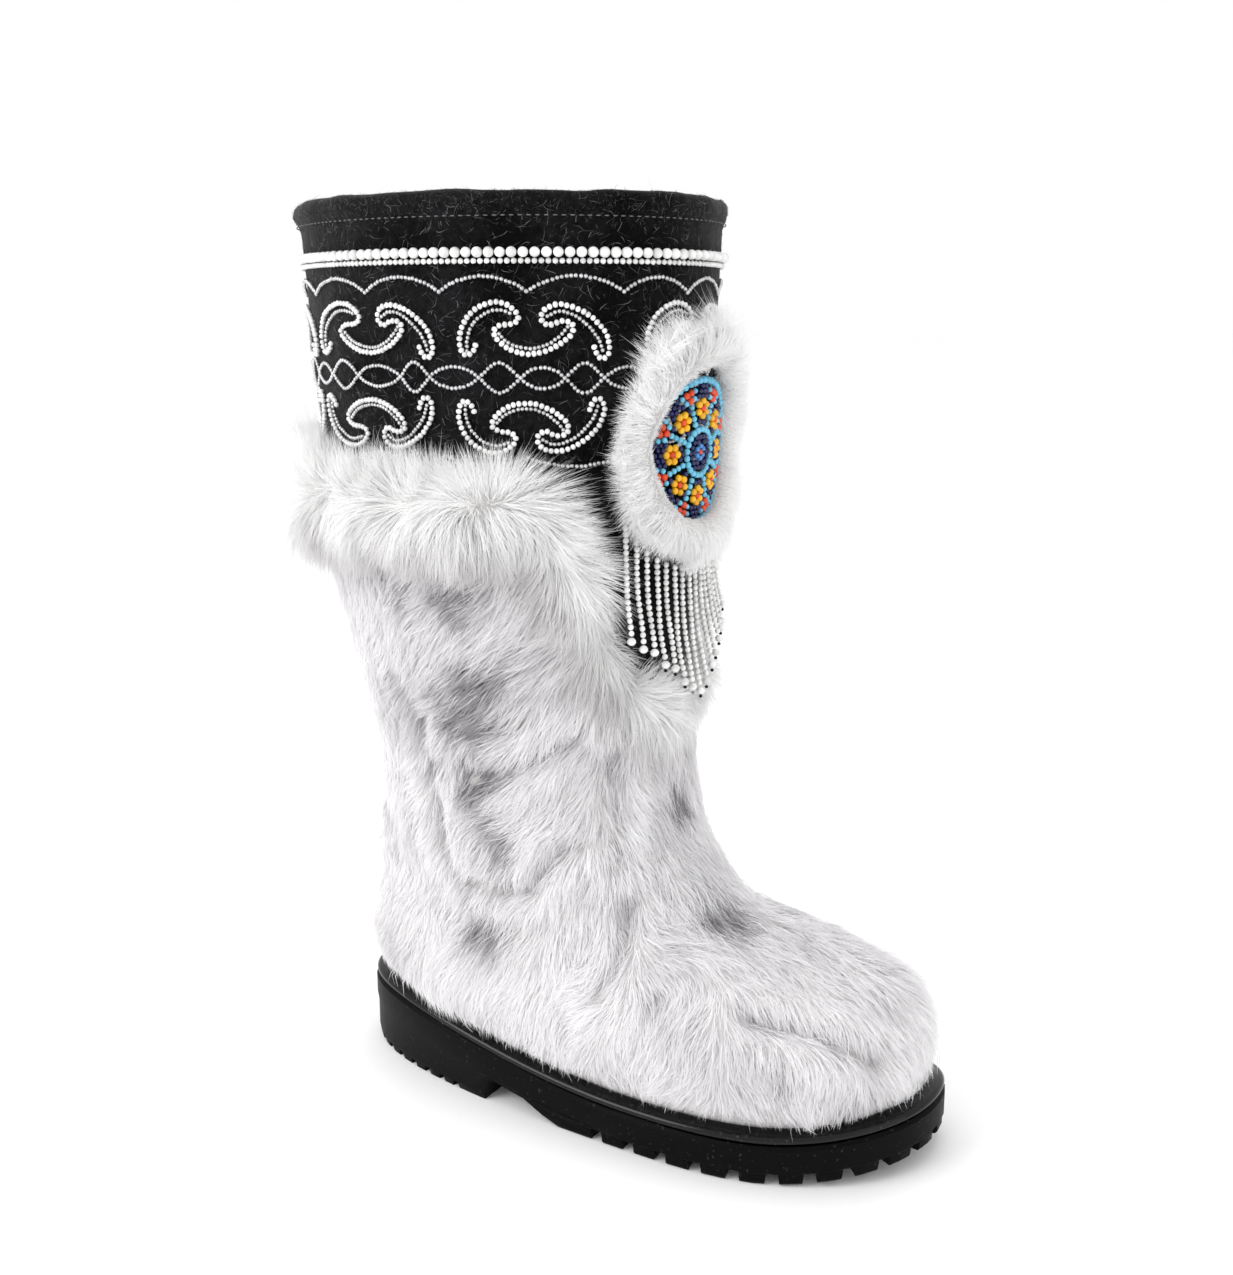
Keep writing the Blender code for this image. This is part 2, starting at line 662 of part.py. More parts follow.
def medallion(collection, parent):
    rng = random.Random(9)
    turns = even_turns(28)

    def ring(reach, out):
        return [pad_point(math.sin(t) * reach * PAD_HALF_WIDTH, math.cos(t) * reach * PAD_HALF_HEIGHT, out)
                for t in turns]

    def thick(swell, reach):
        return CLEARANCE + mix(PAD_SEAT, PAD_THICKNESS, swell) + dome(reach * PAD_HALF_WIDTH / ROSETTE_RADIUS)

    front = [ring(row["reach"], thick(row["swell"], row["reach"])) for row in named(PAD_COLUMNS, PAD_RINGS)]
    edge = ring(1.0, thick(PAD_EDGE_SWELL, 1.0))
    back = [ring(reach, CLEARANCE * 2) for reach in (0.97, 0.70, 0.35)]
    bm = bmesh.new()
    grid = disc(bm, pad_point(0.0, 0.0, thick(0.0, 0.0)), front + [edge] + back)
    behind = bm.verts.new(pad_point(0.0, 0.0, CLEARANCE * 2))
    for i in range(len(turns)):
        bm.faces.new((behind, grid[-1][i], grid[-1][(i + 1) % len(turns)]))
    bmesh.ops.recalc_face_normals(bm, faces=bm.faces)
    rim = {vert for ring_verts in grid[3:6] for vert in ring_verts}
    fringe_side = PAD_HEIGHT - PAD_HALF_HEIGHT * 0.55
    locks = [face for face in bm.faces
             if all(vert in rim for vert in face.verts) and face.calc_center_median().z > fringe_side]
    centre = pad_point(0.0, 0.0, 0.0)

    def reach_out(middle, normal):
        return ((middle - centre).normalized() + normal * 0.6).normalized() * PAD_LOCK

    pull_locks(bm, locks, reach_out, 0.35, rng)
    return finish("medallion", bm, collection, material("short_white_fur", (0.88, 0.88, 0.89), 0.8), parent)


def rosette(collection, parent):
    turns = even_turns(24)

    def ring(reach, out, flower=0.0):
        points = []
        for t in turns:
            petal = flower * (0.5 + 0.5 * math.cos(8 * t))
            away = reach * ROSETTE_RADIUS
            points.append(pad_point(math.sin(t) * away, math.cos(t) * away, out + petal * ROSETTE_RELIEF))
        return points

    seat = PAD_SEAT + CLEARANCE * 4
    front = []
    for row in named(ROSETTE_COLUMNS, ROSETTE_RINGS):
        out = seat + dome(row["reach"]) + ROSETTE_THICKNESS + row["lift"] * ROSETTE_RELIEF
        front.append(ring(row["reach"], out, row["flower"]))
    back = [ring(reach, seat + dome(reach)) for reach in (1.0, 0.6)]
    bm = bmesh.new()
    middle_out = seat + dome(0.0) + ROSETTE_THICKNESS + ROSETTE_RELIEF
    grid = disc(bm, pad_point(0.0, 0.0, middle_out), front + back)
    behind = bm.verts.new(pad_point(0.0, 0.0, seat + dome(0.0)))
    for i in range(len(turns)):
        bm.faces.new((behind, grid[-1][i], grid[-1][(i + 1) % len(turns)]))
    return finish("rosette", bm, collection, material("glass_beads", (0.05, 0.35, 0.60), 0.25), parent)


def fringe(collection, parent):
    """A header along the pad's lower edge, and a strand drawn down from every other face."""
    pitch = math.radians(STRAND_SPAN) / STRAND_COUNT
    first = math.radians(PAD_TURN - STRAND_SPAN / 2)
    stations = []
    for number in range(STRAND_COUNT):
        middle = first + (number + 0.5) * pitch
        half = STRAND_WIDTH / 2 / leg_speed(middle, PAD_HEIGHT - PAD_HALF_HEIGHT)
        stations += [middle - half, middle + half]

    def top(turn):
        z = PAD_HEIGHT - PAD_HALF_HEIGHT
        away = leg_speed(turn, z) * (turn - math.radians(PAD_TURN)) / (PAD_HALF_WIDTH + 2 * CLEARANCE)
        return PAD_HEIGHT - CLEARANCE * 4 - PAD_HALF_HEIGHT * math.sqrt(max(0.0, 1.0 - away * away))

    corners = ((0.0, 0.0), (1.0, 0.0), (1.0, 1.0), (0.0, 1.0))
    bm = bmesh.new()
    grid = []
    for turn in stations:
        ring = []
        for down, out in corners:
            z = top(turn) - down * HEADER_HEIGHT
            ring.append(bm.verts.new(leg_point(turn, z, CLEARANCE + out * HEADER_THICKNESS)))
        grid.append(ring)
    under = []
    for number, (left, right) in enumerate(zip(grid, grid[1:])):
        for i in range(4):
            j = (i + 1) % 4
            face = bm.faces.new((left[i], left[j], right[j], right[i]))
            if i == 1 and number % 2 == 0:
                under.append(face)
    bm.faces.new(grid[0])
    bm.faces.new(tuple(reversed(grid[-1])))
    bmesh.ops.recalc_face_normals(bm, faces=bm.faces)
    for number, face in enumerate(under):
        turn = (stations[2 * number] + stations[2 * number + 1]) / 2
        spread = abs(2 * (number + 0.5) / STRAND_COUNT - 1)
        end = PAD_HEIGHT - STRAND_END + STRAND_RISE * spread
        start = top(turn) - HEADER_HEIGHT
        middle_out = leg_point(turn, start, CLEARANCE + HEADER_THICKNESS * 0.9 + END_BEAD * 0.2)
        along = (leg_point(turn + 0.01, start) - leg_point(turn - 0.01, start)).normalized()
        outward = Vector((along.y, -along.x, 0.0))
        for row in named(STRAND_COLUMNS, STRAND_SECTION):
            face = bmesh.ops.extrude_discrete_faces(bm, faces=[face])["faces"][0]
            reach = Vector((middle_out.x, middle_out.y, end + END_BEAD * (1.0 - row["down"])))
            half = mix(STRAND_WIDTH, END_BEAD, row["bead"]) / 2
            middle = face.calc_center_median()
            for vert in face.verts:
                away = vert.co - middle
                across = math.copysign(half, away.dot(along))
                depth = math.copysign(half, away.dot(outward))
                vert.co = reach + along * across + outward * depth
    return finish("fringe", bm, collection, material("white_bead_strands", (0.84, 0.84, 0.85), 0.3), parent)


def stand_on_origin(parent, objects):
    """Brings the middle of the boot's box over the origin, with its sole on the floor."""
    bpy.context.view_layer.update()
    graph = bpy.context.evaluated_depsgraph_get()
    corners = []
    for each in objects:
        shape = each.evaluated_get(graph)
        mesh = shape.to_mesh()
        corners += [each.matrix_world @ vert.co for vert in mesh.vertices]
        shape.to_mesh_clear()
    low = Vector([min(c[i] for c in corners) for i in range(3)])
    high = Vector([max(c[i] for c in corners) for i in range(3)])
    parent.location = (-(low.x + high.x) / 2, -(low.y + high.y) / 2, -low.z)
    bpy.context.view_layer.update()


def main():
    for old in list(bpy.data.objects):
        bpy.data.objects.remove(old, do_unlink=True)
    collection = bpy.data.collections.new("winter_boot")
    cutters = bpy.data.collections.new("winter_boot_cutters")
    bpy.context.scene.collection.children.link(collection)
    bpy.context.scene.collection.children.link(cutters)
    stand = bpy.data.objects.new("boot_stand", None)
    collection.objects.link(stand)
    made = [
        outsole(collection, cutters, stand),
        welt(collection, stand),
        insole(collection, stand),
        upper(collection, stand),
        shaft(collection, stand),
        cuff(collection, stand),
        pearl_band(collection, stand),
        medallion(collection, stand),
        rosette(collection, stand),
        fringe(collection, stand),
    ]
    stand_on_origin(stand, made)


main()
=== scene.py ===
# Winter boot with pelt upper, felt shaft, fur cuff and beadwork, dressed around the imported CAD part.
# Blender 4.5. Metres, toe towards +X, outer side towards -Y, +Z up.
import math
import random

import bmesh
import bpy
import numpy as np
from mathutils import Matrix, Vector, noise
from mathutils.bvhtree import BVHTree
from mathutils.kdtree import KDTree


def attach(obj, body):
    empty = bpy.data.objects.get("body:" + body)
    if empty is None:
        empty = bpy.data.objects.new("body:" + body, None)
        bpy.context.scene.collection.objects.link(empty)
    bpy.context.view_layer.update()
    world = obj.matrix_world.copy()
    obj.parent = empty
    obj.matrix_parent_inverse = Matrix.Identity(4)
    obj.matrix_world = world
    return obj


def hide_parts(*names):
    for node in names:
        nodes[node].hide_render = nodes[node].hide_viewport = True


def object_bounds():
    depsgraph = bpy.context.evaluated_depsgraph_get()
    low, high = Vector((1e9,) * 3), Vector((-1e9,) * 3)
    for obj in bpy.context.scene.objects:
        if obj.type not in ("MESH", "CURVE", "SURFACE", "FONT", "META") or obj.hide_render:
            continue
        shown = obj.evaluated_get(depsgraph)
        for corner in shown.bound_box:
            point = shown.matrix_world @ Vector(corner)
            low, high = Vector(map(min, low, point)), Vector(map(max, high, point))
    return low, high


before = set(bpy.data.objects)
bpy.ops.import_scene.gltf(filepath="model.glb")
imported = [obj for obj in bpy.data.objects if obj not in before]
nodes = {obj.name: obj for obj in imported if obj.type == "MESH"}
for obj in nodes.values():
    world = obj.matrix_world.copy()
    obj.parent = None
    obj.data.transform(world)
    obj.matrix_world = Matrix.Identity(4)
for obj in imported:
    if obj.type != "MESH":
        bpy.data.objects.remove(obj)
cadBox = [list(corner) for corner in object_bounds()]
# hair tips are kept within 3% of the CAD box's size plus 9 mm beyond it
hairRoom = [0.03 * (high - low) + 0.009 for low, high in zip(*cadBox)]
mm = 0.001


# Materials
def linearColour(code):
    values = [int(code[i:i + 2], 16) / 255 for i in (1, 3, 5)]
    return tuple(v / 12.92 if v <= 0.04045 else ((v + 0.055) / 1.055) ** 2.4 for v in values) + (1.0,)


def wire(material, node, inputs):
    for socket, value in inputs.items():
        if isinstance(value, bpy.types.NodeSocket):
            material.node_tree.links.new(value, node.inputs[socket])
        else:
            node.inputs[socket].default_value = value
    return node


def addNode(material, kind, inputs=None, **settings):
    node = material.node_tree.nodes.new(kind)
    for key, value in settings.items():
        setattr(node, key, value)
    return wire(material, node, inputs or {})


def newMaterial(name, **inputs):
    made = bpy.data.materials.new(name)
    made.use_nodes = True
    shader = made.node_tree.nodes["Principled BSDF"]
    wire(made, shader, {key.replace("_", " "): value for key, value in inputs.items()})
    return made, shader


def objectPlace(material, scale=(1.0, 1.0, 1.0)):
    place = addNode(material, "ShaderNodeTexCoord")
    return addNode(material, "ShaderNodeMapping", {"Vector": place.outputs["Object"], "Scale": scale})


def furMaterial(name, palest, darkest, through):
    # Rabbit fur: pale, faintly translucent hairs, so light gets in between them and shadows stay soft.
    made, shader = newMaterial(name, Roughness=0.62, Specular_IOR_Level=0.25)
    tone = addNode(made, "ShaderNodeAttribute", attribute_name="tone", attribute_type="GEOMETRY")
    ramp = addNode(made, "ShaderNodeValToRGB", {"Fac": tone.outputs["Fac"]})
    ramp.color_ramp.elements[0].color = linearColour(darkest)
    ramp.color_ramp.elements[1].color = linearColour(palest)
    wire(made, shader, {"Base Color": ramp.outputs["Color"]})
    behind = addNode(made, "ShaderNodeBsdfTranslucent", {"Color": ramp.outputs["Color"]})
    both = addNode(made, "ShaderNodeMixShader", {
        0: through, 1: shader.outputs["BSDF"], 2: behind.outputs["BSDF"]})
    output = made.node_tree.nodes["Material Output"]
    wire(made, output, {"Surface": both.outputs["Shader"]})
    return made


def underfurMaterial():
    # The dense undercoat on the hide, streaked down the leg at hair width: greyer than the hairs, as painted shade in
    # the gaps between them, and darkened by the tone attribute with its grey patches and painted crease and hollow
    # shade.
    made, shader = newMaterial("rabbitUnderfur", Roughness=0.9, Specular_IOR_Level=0.1)
    place = objectPlace(made, (1.0, 1.0, 0.18))
    streaks = addNode(made, "ShaderNodeTexNoise", {"Vector": place.outputs["Vector"], "Scale": 900.0, "Detail": 3.0})
    tone = addNode(made, "ShaderNodeAttribute", attribute_name="tone", attribute_type="GEOMETRY")
    mixed = addNode(made, "ShaderNodeMath", {0: streaks.outputs["Fac"], 1: -0.35}, operation="MULTIPLY_ADD")
    wire(made, mixed, {2: tone.outputs["Fac"]})
    ramp = addNode(made, "ShaderNodeValToRGB", {"Fac": mixed.outputs["Value"]})
    ramp.color_ramp.elements[0].color = linearColour("#86807e")
    ramp.color_ramp.elements[1].color = linearColour("#e6e4e4")
    bump = addNode(made, "ShaderNodeBump", {"Height": streaks.outputs["Fac"], "Distance": 0.6 * mm, "Strength": 0.5})
    wire(made, shader, {"Base Color": ramp.outputs["Color"], "Normal": bump.outputs["Normal"]})
    return made


def feltMaterial(name, dark, light, fibreScale=420.0):
    # Pressed wool felt: short matted fibres that catch light as paler flecks, with a soft sheen.
    made, shader = newMaterial(name, Roughness=0.95, Specular_IOR_Level=0.06,
                               Sheen_Weight=0.22, Sheen_Roughness=0.35)
    place = objectPlace(made)
    warp = addNode(made, "ShaderNodeTexNoise", {"Vector": place.outputs["Vector"], "Scale": 130.0, "Detail": 3.0})
    bent = addNode(made, "ShaderNodeVectorMath", {0: warp.outputs["Color"], 1: (0.012, 0.012, 0.012)},
                   operation="MULTIPLY_ADD")
    wire(made, bent, {2: place.outputs["Vector"]})
    fibres = addNode(made, "ShaderNodeTexNoise", {"Vector": bent.outputs["Vector"], "Scale": fibreScale,
                                                 "Detail": 5.0, "Roughness": 0.7})
    patches = addNode(made, "ShaderNodeTexNoise", {"Vector": place.outputs["Vector"], "Scale": 38.0, "Detail": 4.0})
    both = addNode(made, "ShaderNodeMath", {0: fibres.outputs["Fac"], 1: patches.outputs["Fac"]},
                   operation="MULTIPLY")
    ramp = addNode(made, "ShaderNodeValToRGB", {"Fac": both.outputs["Value"]})
    ramp.color_ramp.elements[0].position = 0.18
    ramp.color_ramp.elements[0].color = linearColour(dark)
    ramp.color_ramp.elements[1].position = 0.46
    ramp.color_ramp.elements[1].color = linearColour(light)
    bump = addNode(made, "ShaderNodeBump", {"Height": fibres.outputs["Fac"], "Distance": 0.7 * mm, "Strength": 0.7})
    wire(made, shader, {"Base Color": ramp.outputs["Color"], "Normal": bump.outputs["Normal"]})
    return made


def rubberMaterial(name, colour, rough, coat):
    # Vulcanised rubber: near black, with the fine dull grain of the mould and a few dust specks.
    made, shader = newMaterial(name, Coat_Weight=coat, Coat_Roughness=0.12, Specular_IOR_Level=0.06)
    place = objectPlace(made)
    grain = addNode(made, "ShaderNodeTexNoise", {"Vector": place.outputs["Vector"], "Scale": 1600.0, "Detail": 2.0})
    specks = addNode(made, "ShaderNodeTexNoise", {"Vector": place.outputs["Vector"], "Scale": 700.0, "Detail": 0.0})
    ramp = addNode(made, "ShaderNodeValToRGB", {"Fac": specks.outputs["Fac"]})
    ramp.color_ramp.elements[0].position = 0.74
    ramp.color_ramp.elements[0].color = linearColour(colour)
    ramp.color_ramp.elements[1].position = 0.80
    ramp.color_ramp.elements[1].color = linearColour("#2b2b2d")
    uneven = addNode(made, "ShaderNodeMapRange", {"Value": grain.outputs["Fac"], "To Min": rough - 0.07,
                                                  "To Max": rough + 0.10})
    bump = addNode(made, "ShaderNodeBump", {"Height": grain.outputs["Fac"], "Distance": 0.12 * mm, "Strength": 0.35})
    wire(made, shader, {"Base Color": ramp.outputs["Color"], "Roughness": uneven.outputs["Result"],
                        "Normal": bump.outputs["Normal"]})
    return made


def beadMaterial(name, colour, rough=0.22, metallic=0.0):
    # Opaque pressed glass: a hard bright gloss over a flat colour that drifts a little from bead to bead.
    made, shader = newMaterial(name, Roughness=rough, Metallic=metallic, IOR=1.5)
    place = objectPlace(made)
    drift = addNode(made, "ShaderNodeTexNoise", {"Vector": place.outputs["Vector"], "Scale": 260.0, "Detail": 0.0})
    ramp = addNode(made, "ShaderNodeValToRGB", {"Fac": drift.outputs["Fac"]})
    tint = linearColour(colour)
    ramp.color_ramp.elements[0].position = 0.3
    ramp.color_ramp.elements[0].color = tuple(0.78 * c for c in tint[:3]) + (1.0,)
    ramp.color_ramp.elements[1].position = 0.6
    ramp.color_ramp.elements[1].color = tint
    wire(made, shader, {"Base Color": ramp.outputs["Color"]})
    return made


furWhite = furMaterial("rabbitFur", "#fbfafb", "#77727a", 0.40)
deepWhite = furMaterial("foxFur", "#ffffff", "#b9b6b6", 0.42)
underfur = underfurMaterial()
felt = feltMaterial("charcoalWoolFelt", "#050505", "#212123")
lining = feltMaterial("greyFeltLining", "#5e5c5a", "#9b9896")
fleece = feltMaterial("pressedInsoleFelt", "#6d6a68", "#a5a29f", 300.0)
soleRubber = rubberMaterial("mouldedRubber", "#070708", 0.46, 0.0)
rimRubber = rubberMaterial("polishedRubber", "#050506", 0.22, 0.45)
whiteGlass = beadMaterial("whiteGlass", "#f3f3f2")
silverGlass = beadMaterial("silverLinedGlass", "#d4d4d6", 0.18, 0.55)
turquoiseGlass = beadMaterial("turquoiseGlass", "#72c8e8")
navyGlass = beadMaterial("navyGlass", "#0b1552")
yellowGlass = beadMaterial("yellowGlass", "#fbbb14")
orangeGlass = beadMaterial("orangeGlass", "#ea4a1e")
skyGlass = beadMaterial("skyBlueGlass", "#4c93d8")
threadGrey = beadMaterial("greyThread", "#646468", 0.7)
darkSteel = beadMaterial("blackenedSteel", "#2b2b2e", 0.3, 0.9)
feltFibre = furMaterial("looseWoolFibre", "#a2a2a6", "#161617", 0.2)
navyFelt = feltMaterial("navyBackingFelt", "#060a26", "#141c4a")


# Pieces
def addPiece(name, mesh, materials, replaced=()):
    piece = bpy.data.objects.new(name, mesh)
    bpy.context.scene.collection.objects.link(piece)
    for each in materials:
        mesh.materials.append(each)
    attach(piece, "root")
    if replaced:
        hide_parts(*replaced)
    return piece


def weldedCopy(nodeName):
    bm = bmesh.new()
    bm.from_mesh(nodes[nodeName].data)
    bmesh.ops.remove_doubles(bm, verts=bm.verts, dist=0.02 * mm)
    return bm


def smoothCopy(nodeName, levels):
    bm = weldedCopy(nodeName)
    bmesh.ops.join_triangles(bm, faces=bm.faces, angle_face_threshold=math.radians(60),
                             angle_shape_threshold=math.radians(60))
    mesh = bpy.data.meshes.new(nodeName + "Cage")
    bm.to_mesh(mesh)
    bm.free()
    cage = bpy.data.objects.new(nodeName + "Cage", mesh)
    bpy.context.scene.collection.objects.link(cage)
    rounded = cage.modifiers.new("rounded", "SUBSURF")
    rounded.levels = rounded.render_levels = levels
    graph = bpy.context.evaluated_depsgraph_get()
    finished = bpy.data.meshes.new_from_object(cage.evaluated_get(graph))
    bpy.data.objects.remove(cage)
    bpy.data.meshes.remove(mesh)
    finished.shade_smooth()
    return finished


def meshArrays(mesh):
    spots = np.empty(len(mesh.vertices) * 3)
    mesh.vertices.foreach_get("co", spots)
    normals = np.empty(len(mesh.vertices) * 3)
    mesh.vertices.foreach_get("normal", normals)
    mesh.calc_loop_triangles()
    corners = np.empty(len(mesh.loop_triangles) * 3, dtype=np.int32)
    mesh.loop_triangles.foreach_get("vertices", corners)
    return spots.reshape(-1, 3), normals.reshape(-1, 3), corners.reshape(-1, 3)


def unit(vectors):
    return vectors / np.maximum(np.linalg.norm(vectors, axis=-1, keepdims=True), 1e-9)


def toPlane(vectors, normals):
    return unit(vectors - normals * np.sum(vectors * normals, axis=-1, keepdims=True))


def nearestOnPath(spots, path):
    best = np.full(len(spots), 1e9)
    away = np.zeros_like(spots)
    for start, end in zip(path, path[1:]):
        span = end - start
        share = np.clip((spots - start) @ span / (span @ span), 0.0, 1.0)
        gap = spots - (start + share[:, None] * span)
        length = np.linalg.norm(gap, axis=1)
        closer = length < best
        best[closer] = length[closer]
        away[closer] = gap[closer]
    return best, away


def storeTone(mesh, tones):
    layer = mesh.attributes.new("tone", "FLOAT", "POINT")
    layer.data.foreach_set("value", np.ascontiguousarray(tones, dtype=np.float32))


print("materials ready")


# Camera, lights and floor
studio = {
    "cameraPlace": (0.31064, -0.51193, 0.33454), "cameraPitch": 12.517, "cameraTurn": 30.998, "lens": 40.51,
    "keyPower": 12.0, "fillPower": 1.5, "topPower": 4.0, "worldStrength": 1.0,
}


def addLamp(name, place, aim, size, power):
    data = bpy.data.lights.new(name, "AREA")
    data.shape = "RECTANGLE"
    data.size, data.size_y, data.energy = size[0], size[1], power
    lamp = bpy.data.objects.new(name, data)
    lamp.location = place
    lamp.rotation_euler = (Vector(aim) - Vector(place)).to_track_quat("-Z", "Y").to_euler()
    bpy.context.scene.collection.objects.link(lamp)


def makeStudio():
    camera = bpy.data.objects.new("photoCamera", bpy.data.cameras.new("photoCamera"))
    camera.location = studio["cameraPlace"]
    camera.rotation_euler = (math.radians(90 - studio["cameraPitch"]), 0, math.radians(studio["cameraTurn"]))
    camera.data.lens = studio["lens"]
    camera.data.clip_start = 0.01
    bpy.context.scene.collection.objects.link(camera)
    bpy.context.scene.camera = camera

    bm = bmesh.new()
    bmesh.ops.create_grid(bm, x_segments=2, y_segments=2, size=40.0)
    mesh = bpy.data.meshes.new("floor")
    bm.to_mesh(mesh)
    bm.free()
    floor = bpy.data.objects.new("floor", mesh)
    bpy.context.scene.collection.objects.link(floor)
    paper, shader = newMaterial("whitePaper", Roughness=0.9)
    wire(paper, shader, {"Base Color": linearColour("#ffffff")})
    mesh.materials.append(paper)

    world = bpy.data.worlds.new("studio")
    world.use_nodes = True
    world.node_tree.nodes["Background"].inputs["Color"].default_value = (1.0, 1.0, 1.0, 1.0)
    world.node_tree.nodes["Background"].inputs["Strength"].default_value = studio["worldStrength"]
    bpy.context.scene.world = world
    bpy.context.scene.view_settings.view_transform = "Standard"
    middle = (0.0, 0.0, 0.18)
    addLamp("keySoftbox", (-0.75, -1.15, 0.95), middle, (0.9, 0.9), studio["keyPower"])
    addLamp("fillSoftbox", (1.4, -0.4, 0.6), middle, (1.0, 1.0), studio["fillPower"])
    addLamp("topSoftbox", (-0.1, 0.35, 1.5), middle, (1.2, 1.2), studio["topPower"])


makeStudio()
print("studio ready")

# The shaft's wall unrolled: s runs along it from the front, towards the inner side, in metres
legMiddle = -0.0495
wallTrees = []
for nodeName in ("shaft", "upper"):
    wallBm = weldedCopy(nodeName)
    wallTrees.append(BVHTree.FromBMesh(wallBm))
    wallBm.free()


def wallSpot(angle, height):
    way = Vector((math.cos(angle), math.sin(angle), 0.0))
    start = Vector((legMiddle, 0.0, height)) + way * 0.25
    # below the felt's front edge the pelt is the wall
    return wallTrees[0].ray_cast(start, -way)[0] or wallTrees[1].ray_cast(start, -way)[0]


ringAngles = np.radians(np.arange(-200.0, 200.5, 1.0))
ringSpots = np.array([wallSpot(angle, 0.33) for angle in ringAngles])
ringRun = np.concatenate(([0.0], np.cumsum(np.linalg.norm(np.diff(ringSpots, axis=0), axis=1))))
ringRun -= np.interp(0.0, ringAngles, ringRun)
perimeter = float(np.interp(math.pi, ringAngles, ringRun) - np.interp(-math.pi, ringAngles, ringRun))


def wallPoint(s, z, out=0.0):
    angle = float(np.interp(s, ringRun, ringAngles))
    before, spot, after = (wallSpot(angle + turn, z) for turn in (-0.07, 0.0, 0.07))
    along = (after - before).normalized()
    normal = Vector((along.y, -along.x, 0.0))
    return spot + normal * out, normal


# Hair
def growHair(name, spots, normals, combs, lengths, tones, look, materials, seed, replaced=()):
    rng = np.random.default_rng(seed)
    count = len(spots)
    lift = np.radians(rng.normal(look["lift"], look["liftSpread"], count))[:, None]
    wild = rng.random(count)[:, None] < look["wild"]
    lift += np.where(wild, np.radians(rng.uniform(5.0, 35.0, count))[:, None], 0.0)
    swing = np.radians(rng.normal(0.0, look["swing"], count))[:, None]
    side = np.cross(normals, combs)
    combs = combs * np.cos(swing) + side * np.sin(swing)
    side = np.cross(normals, combs)
    reach = (lengths * rng.uniform(0.65, 1.1, count))[:, None] * np.where(wild, 1.3, 1.0)
    curl = rng.normal(0.0, look["curl"], count)[:, None]

    def along(t):
        rise = np.sin(lift) * (t - look["bend"] * t * t)
        run = np.cos(lift) * t + look["bend"] * 0.5 * t * t * np.sin(lift)
        spot = spots + reach * (combs * run + normals * rise + side * curl * t * t)
        spot[:, 2] -= (reach[:, 0] * look["droop"] * t * t)
        return spot

    low, high = np.array(cadBox[0]) - hairRoom, np.array(cadBox[1]) + hairRoom
    for trim in range(4):
        tips = along(1.0)
        reach[np.any((tips < low) | (tips > high), axis=1)] *= 0.7
    tips = along(1.0)
    guides = rng.choice(count, max(8, count // look["clumpOf"]), replace=False)
    tree = KDTree(len(guides))
    for number, guide in enumerate(guides):
        tree.insert(spots[guide], number)
    tree.balance()
    own = np.array([tree.find(spot)[1] for spot in spots])
    pull = (tips[guides][own] - tips) * (look["clump"] * rng.uniform(0.3, 1.0, count))[:, None] * ~wild
    steps = look["steps"]
    line = [along(t) + pull * t ** 1.6 for t in steps]
    roll = np.radians(rng.normal(0.0, look["roll"], count))[:, None]
    across = side * np.cos(roll) + normals * np.sin(roll)
    width = look["width"] * rng.uniform(0.7, 1.25, count)[:, None]
    shares = (0.85, 1.0, 0.72, 0.5)
    rows = []
    for number, centre in enumerate(line[:-1]):
        half = across * width * shares[number] / 2
        rows += [centre - half, centre + half]
    rows.append(line[-1])
    grid = np.stack(rows, axis=1)
    perHair = grid.shape[1]
    quads = len(line) - 2
    pattern = []
    for number in range(quads):
        pattern += [2 * number, 2 * number + 1, 2 * number + 3, 2 * number + 2]
    pattern += [perHair - 3, perHair - 2, perHair - 1]
    base = (np.arange(count) * perHair)[:, None]
    loops = (base + np.array(pattern)[None, :]).ravel()
    starts = np.array([4 * number for number in range(quads + 1)])
    loopStarts = ((np.arange(count) * len(pattern))[:, None] + starts[None, :]).ravel()
    mesh = bpy.data.meshes.new(name)
    mesh.vertices.add(count * perHair)
    mesh.vertices.foreach_set("co", grid.reshape(-1).astype(np.float32))
    mesh.loops.add(len(loops))
    mesh.loops.foreach_set("vertex_index", loops.astype(np.int32))
    mesh.polygons.add(len(loopStarts))
    mesh.polygons.foreach_set("loop_start", loopStarts.astype(np.int32))
    mesh.update(calc_edges=True)
    mesh.shade_smooth()
    clumpTone = rng.normal(0.0, look["clumpTone"], len(guides))[own]
    hairTone = np.clip(tones + clumpTone + rng.normal(0.0, look["toneSpread"], count), 0.0, 1.0)
    # each hair is darkest at its root, painted shade where the hairs crowd together, and a little paler towards its tip
    shade = np.linspace(look["rootShade"], look["tipTone"], perHair)
    storeTone(mesh, np.clip(hairTone[:, None] + shade[None, :], 0.0, 1.0).ravel())
    piece = addPiece(name, mesh, materials, replaced)
    print(name, "hairs", count, "triangles", count * (2 * quads + 1))
    return piece


def scatter(mesh, weights, count, seed, *fields):
    rng = np.random.default_rng(seed)
    spots, normals, corners = meshArrays(mesh)
    a, b, c = (spots[corners[:, k]] for k in range(3))
    area = np.linalg.norm(np.cross(b - a, c - a), axis=1) / 2 * weights[corners].mean(axis=1)
    picked = rng.choice(len(corners), count, p=area / area.sum())
    u, v = rng.random(count), rng.random(count)
    flip = u + v > 1
    u[flip], v[flip] = 1 - u[flip], 1 - v[flip]
    share = np.stack((1 - u - v, u, v), axis=1)
    chosen = corners[picked]

    def read(field):
        values = field[chosen]
        if values.ndim == 3:
            return np.einsum("ij,ijk->ik", share, values)
        return np.einsum("ij,ij->i", share, values)

    return [read(spots), unit(read(normals))] + [read(field) for field in fields]


# Upper: hide, creases and rabbit fur
upperLook = {
    "hairs": 132000, "pieces": 3, "length": 13.0, "width": 0.32 * mm, "liftSpread": 10.0,
    "swing": 10.0, "curl": 0.12, "wild": 0.012, "bend": 0.62, "droop": 0.0, "clumpOf": 11, "clump": 0.48, "clumpTone": 0.06,
    "steps": (0.0, 0.5, 1.0), "roll": 30.0, "toneSpread": 0.05, "rootShade": -0.12, "tipTone": 0.08,
}
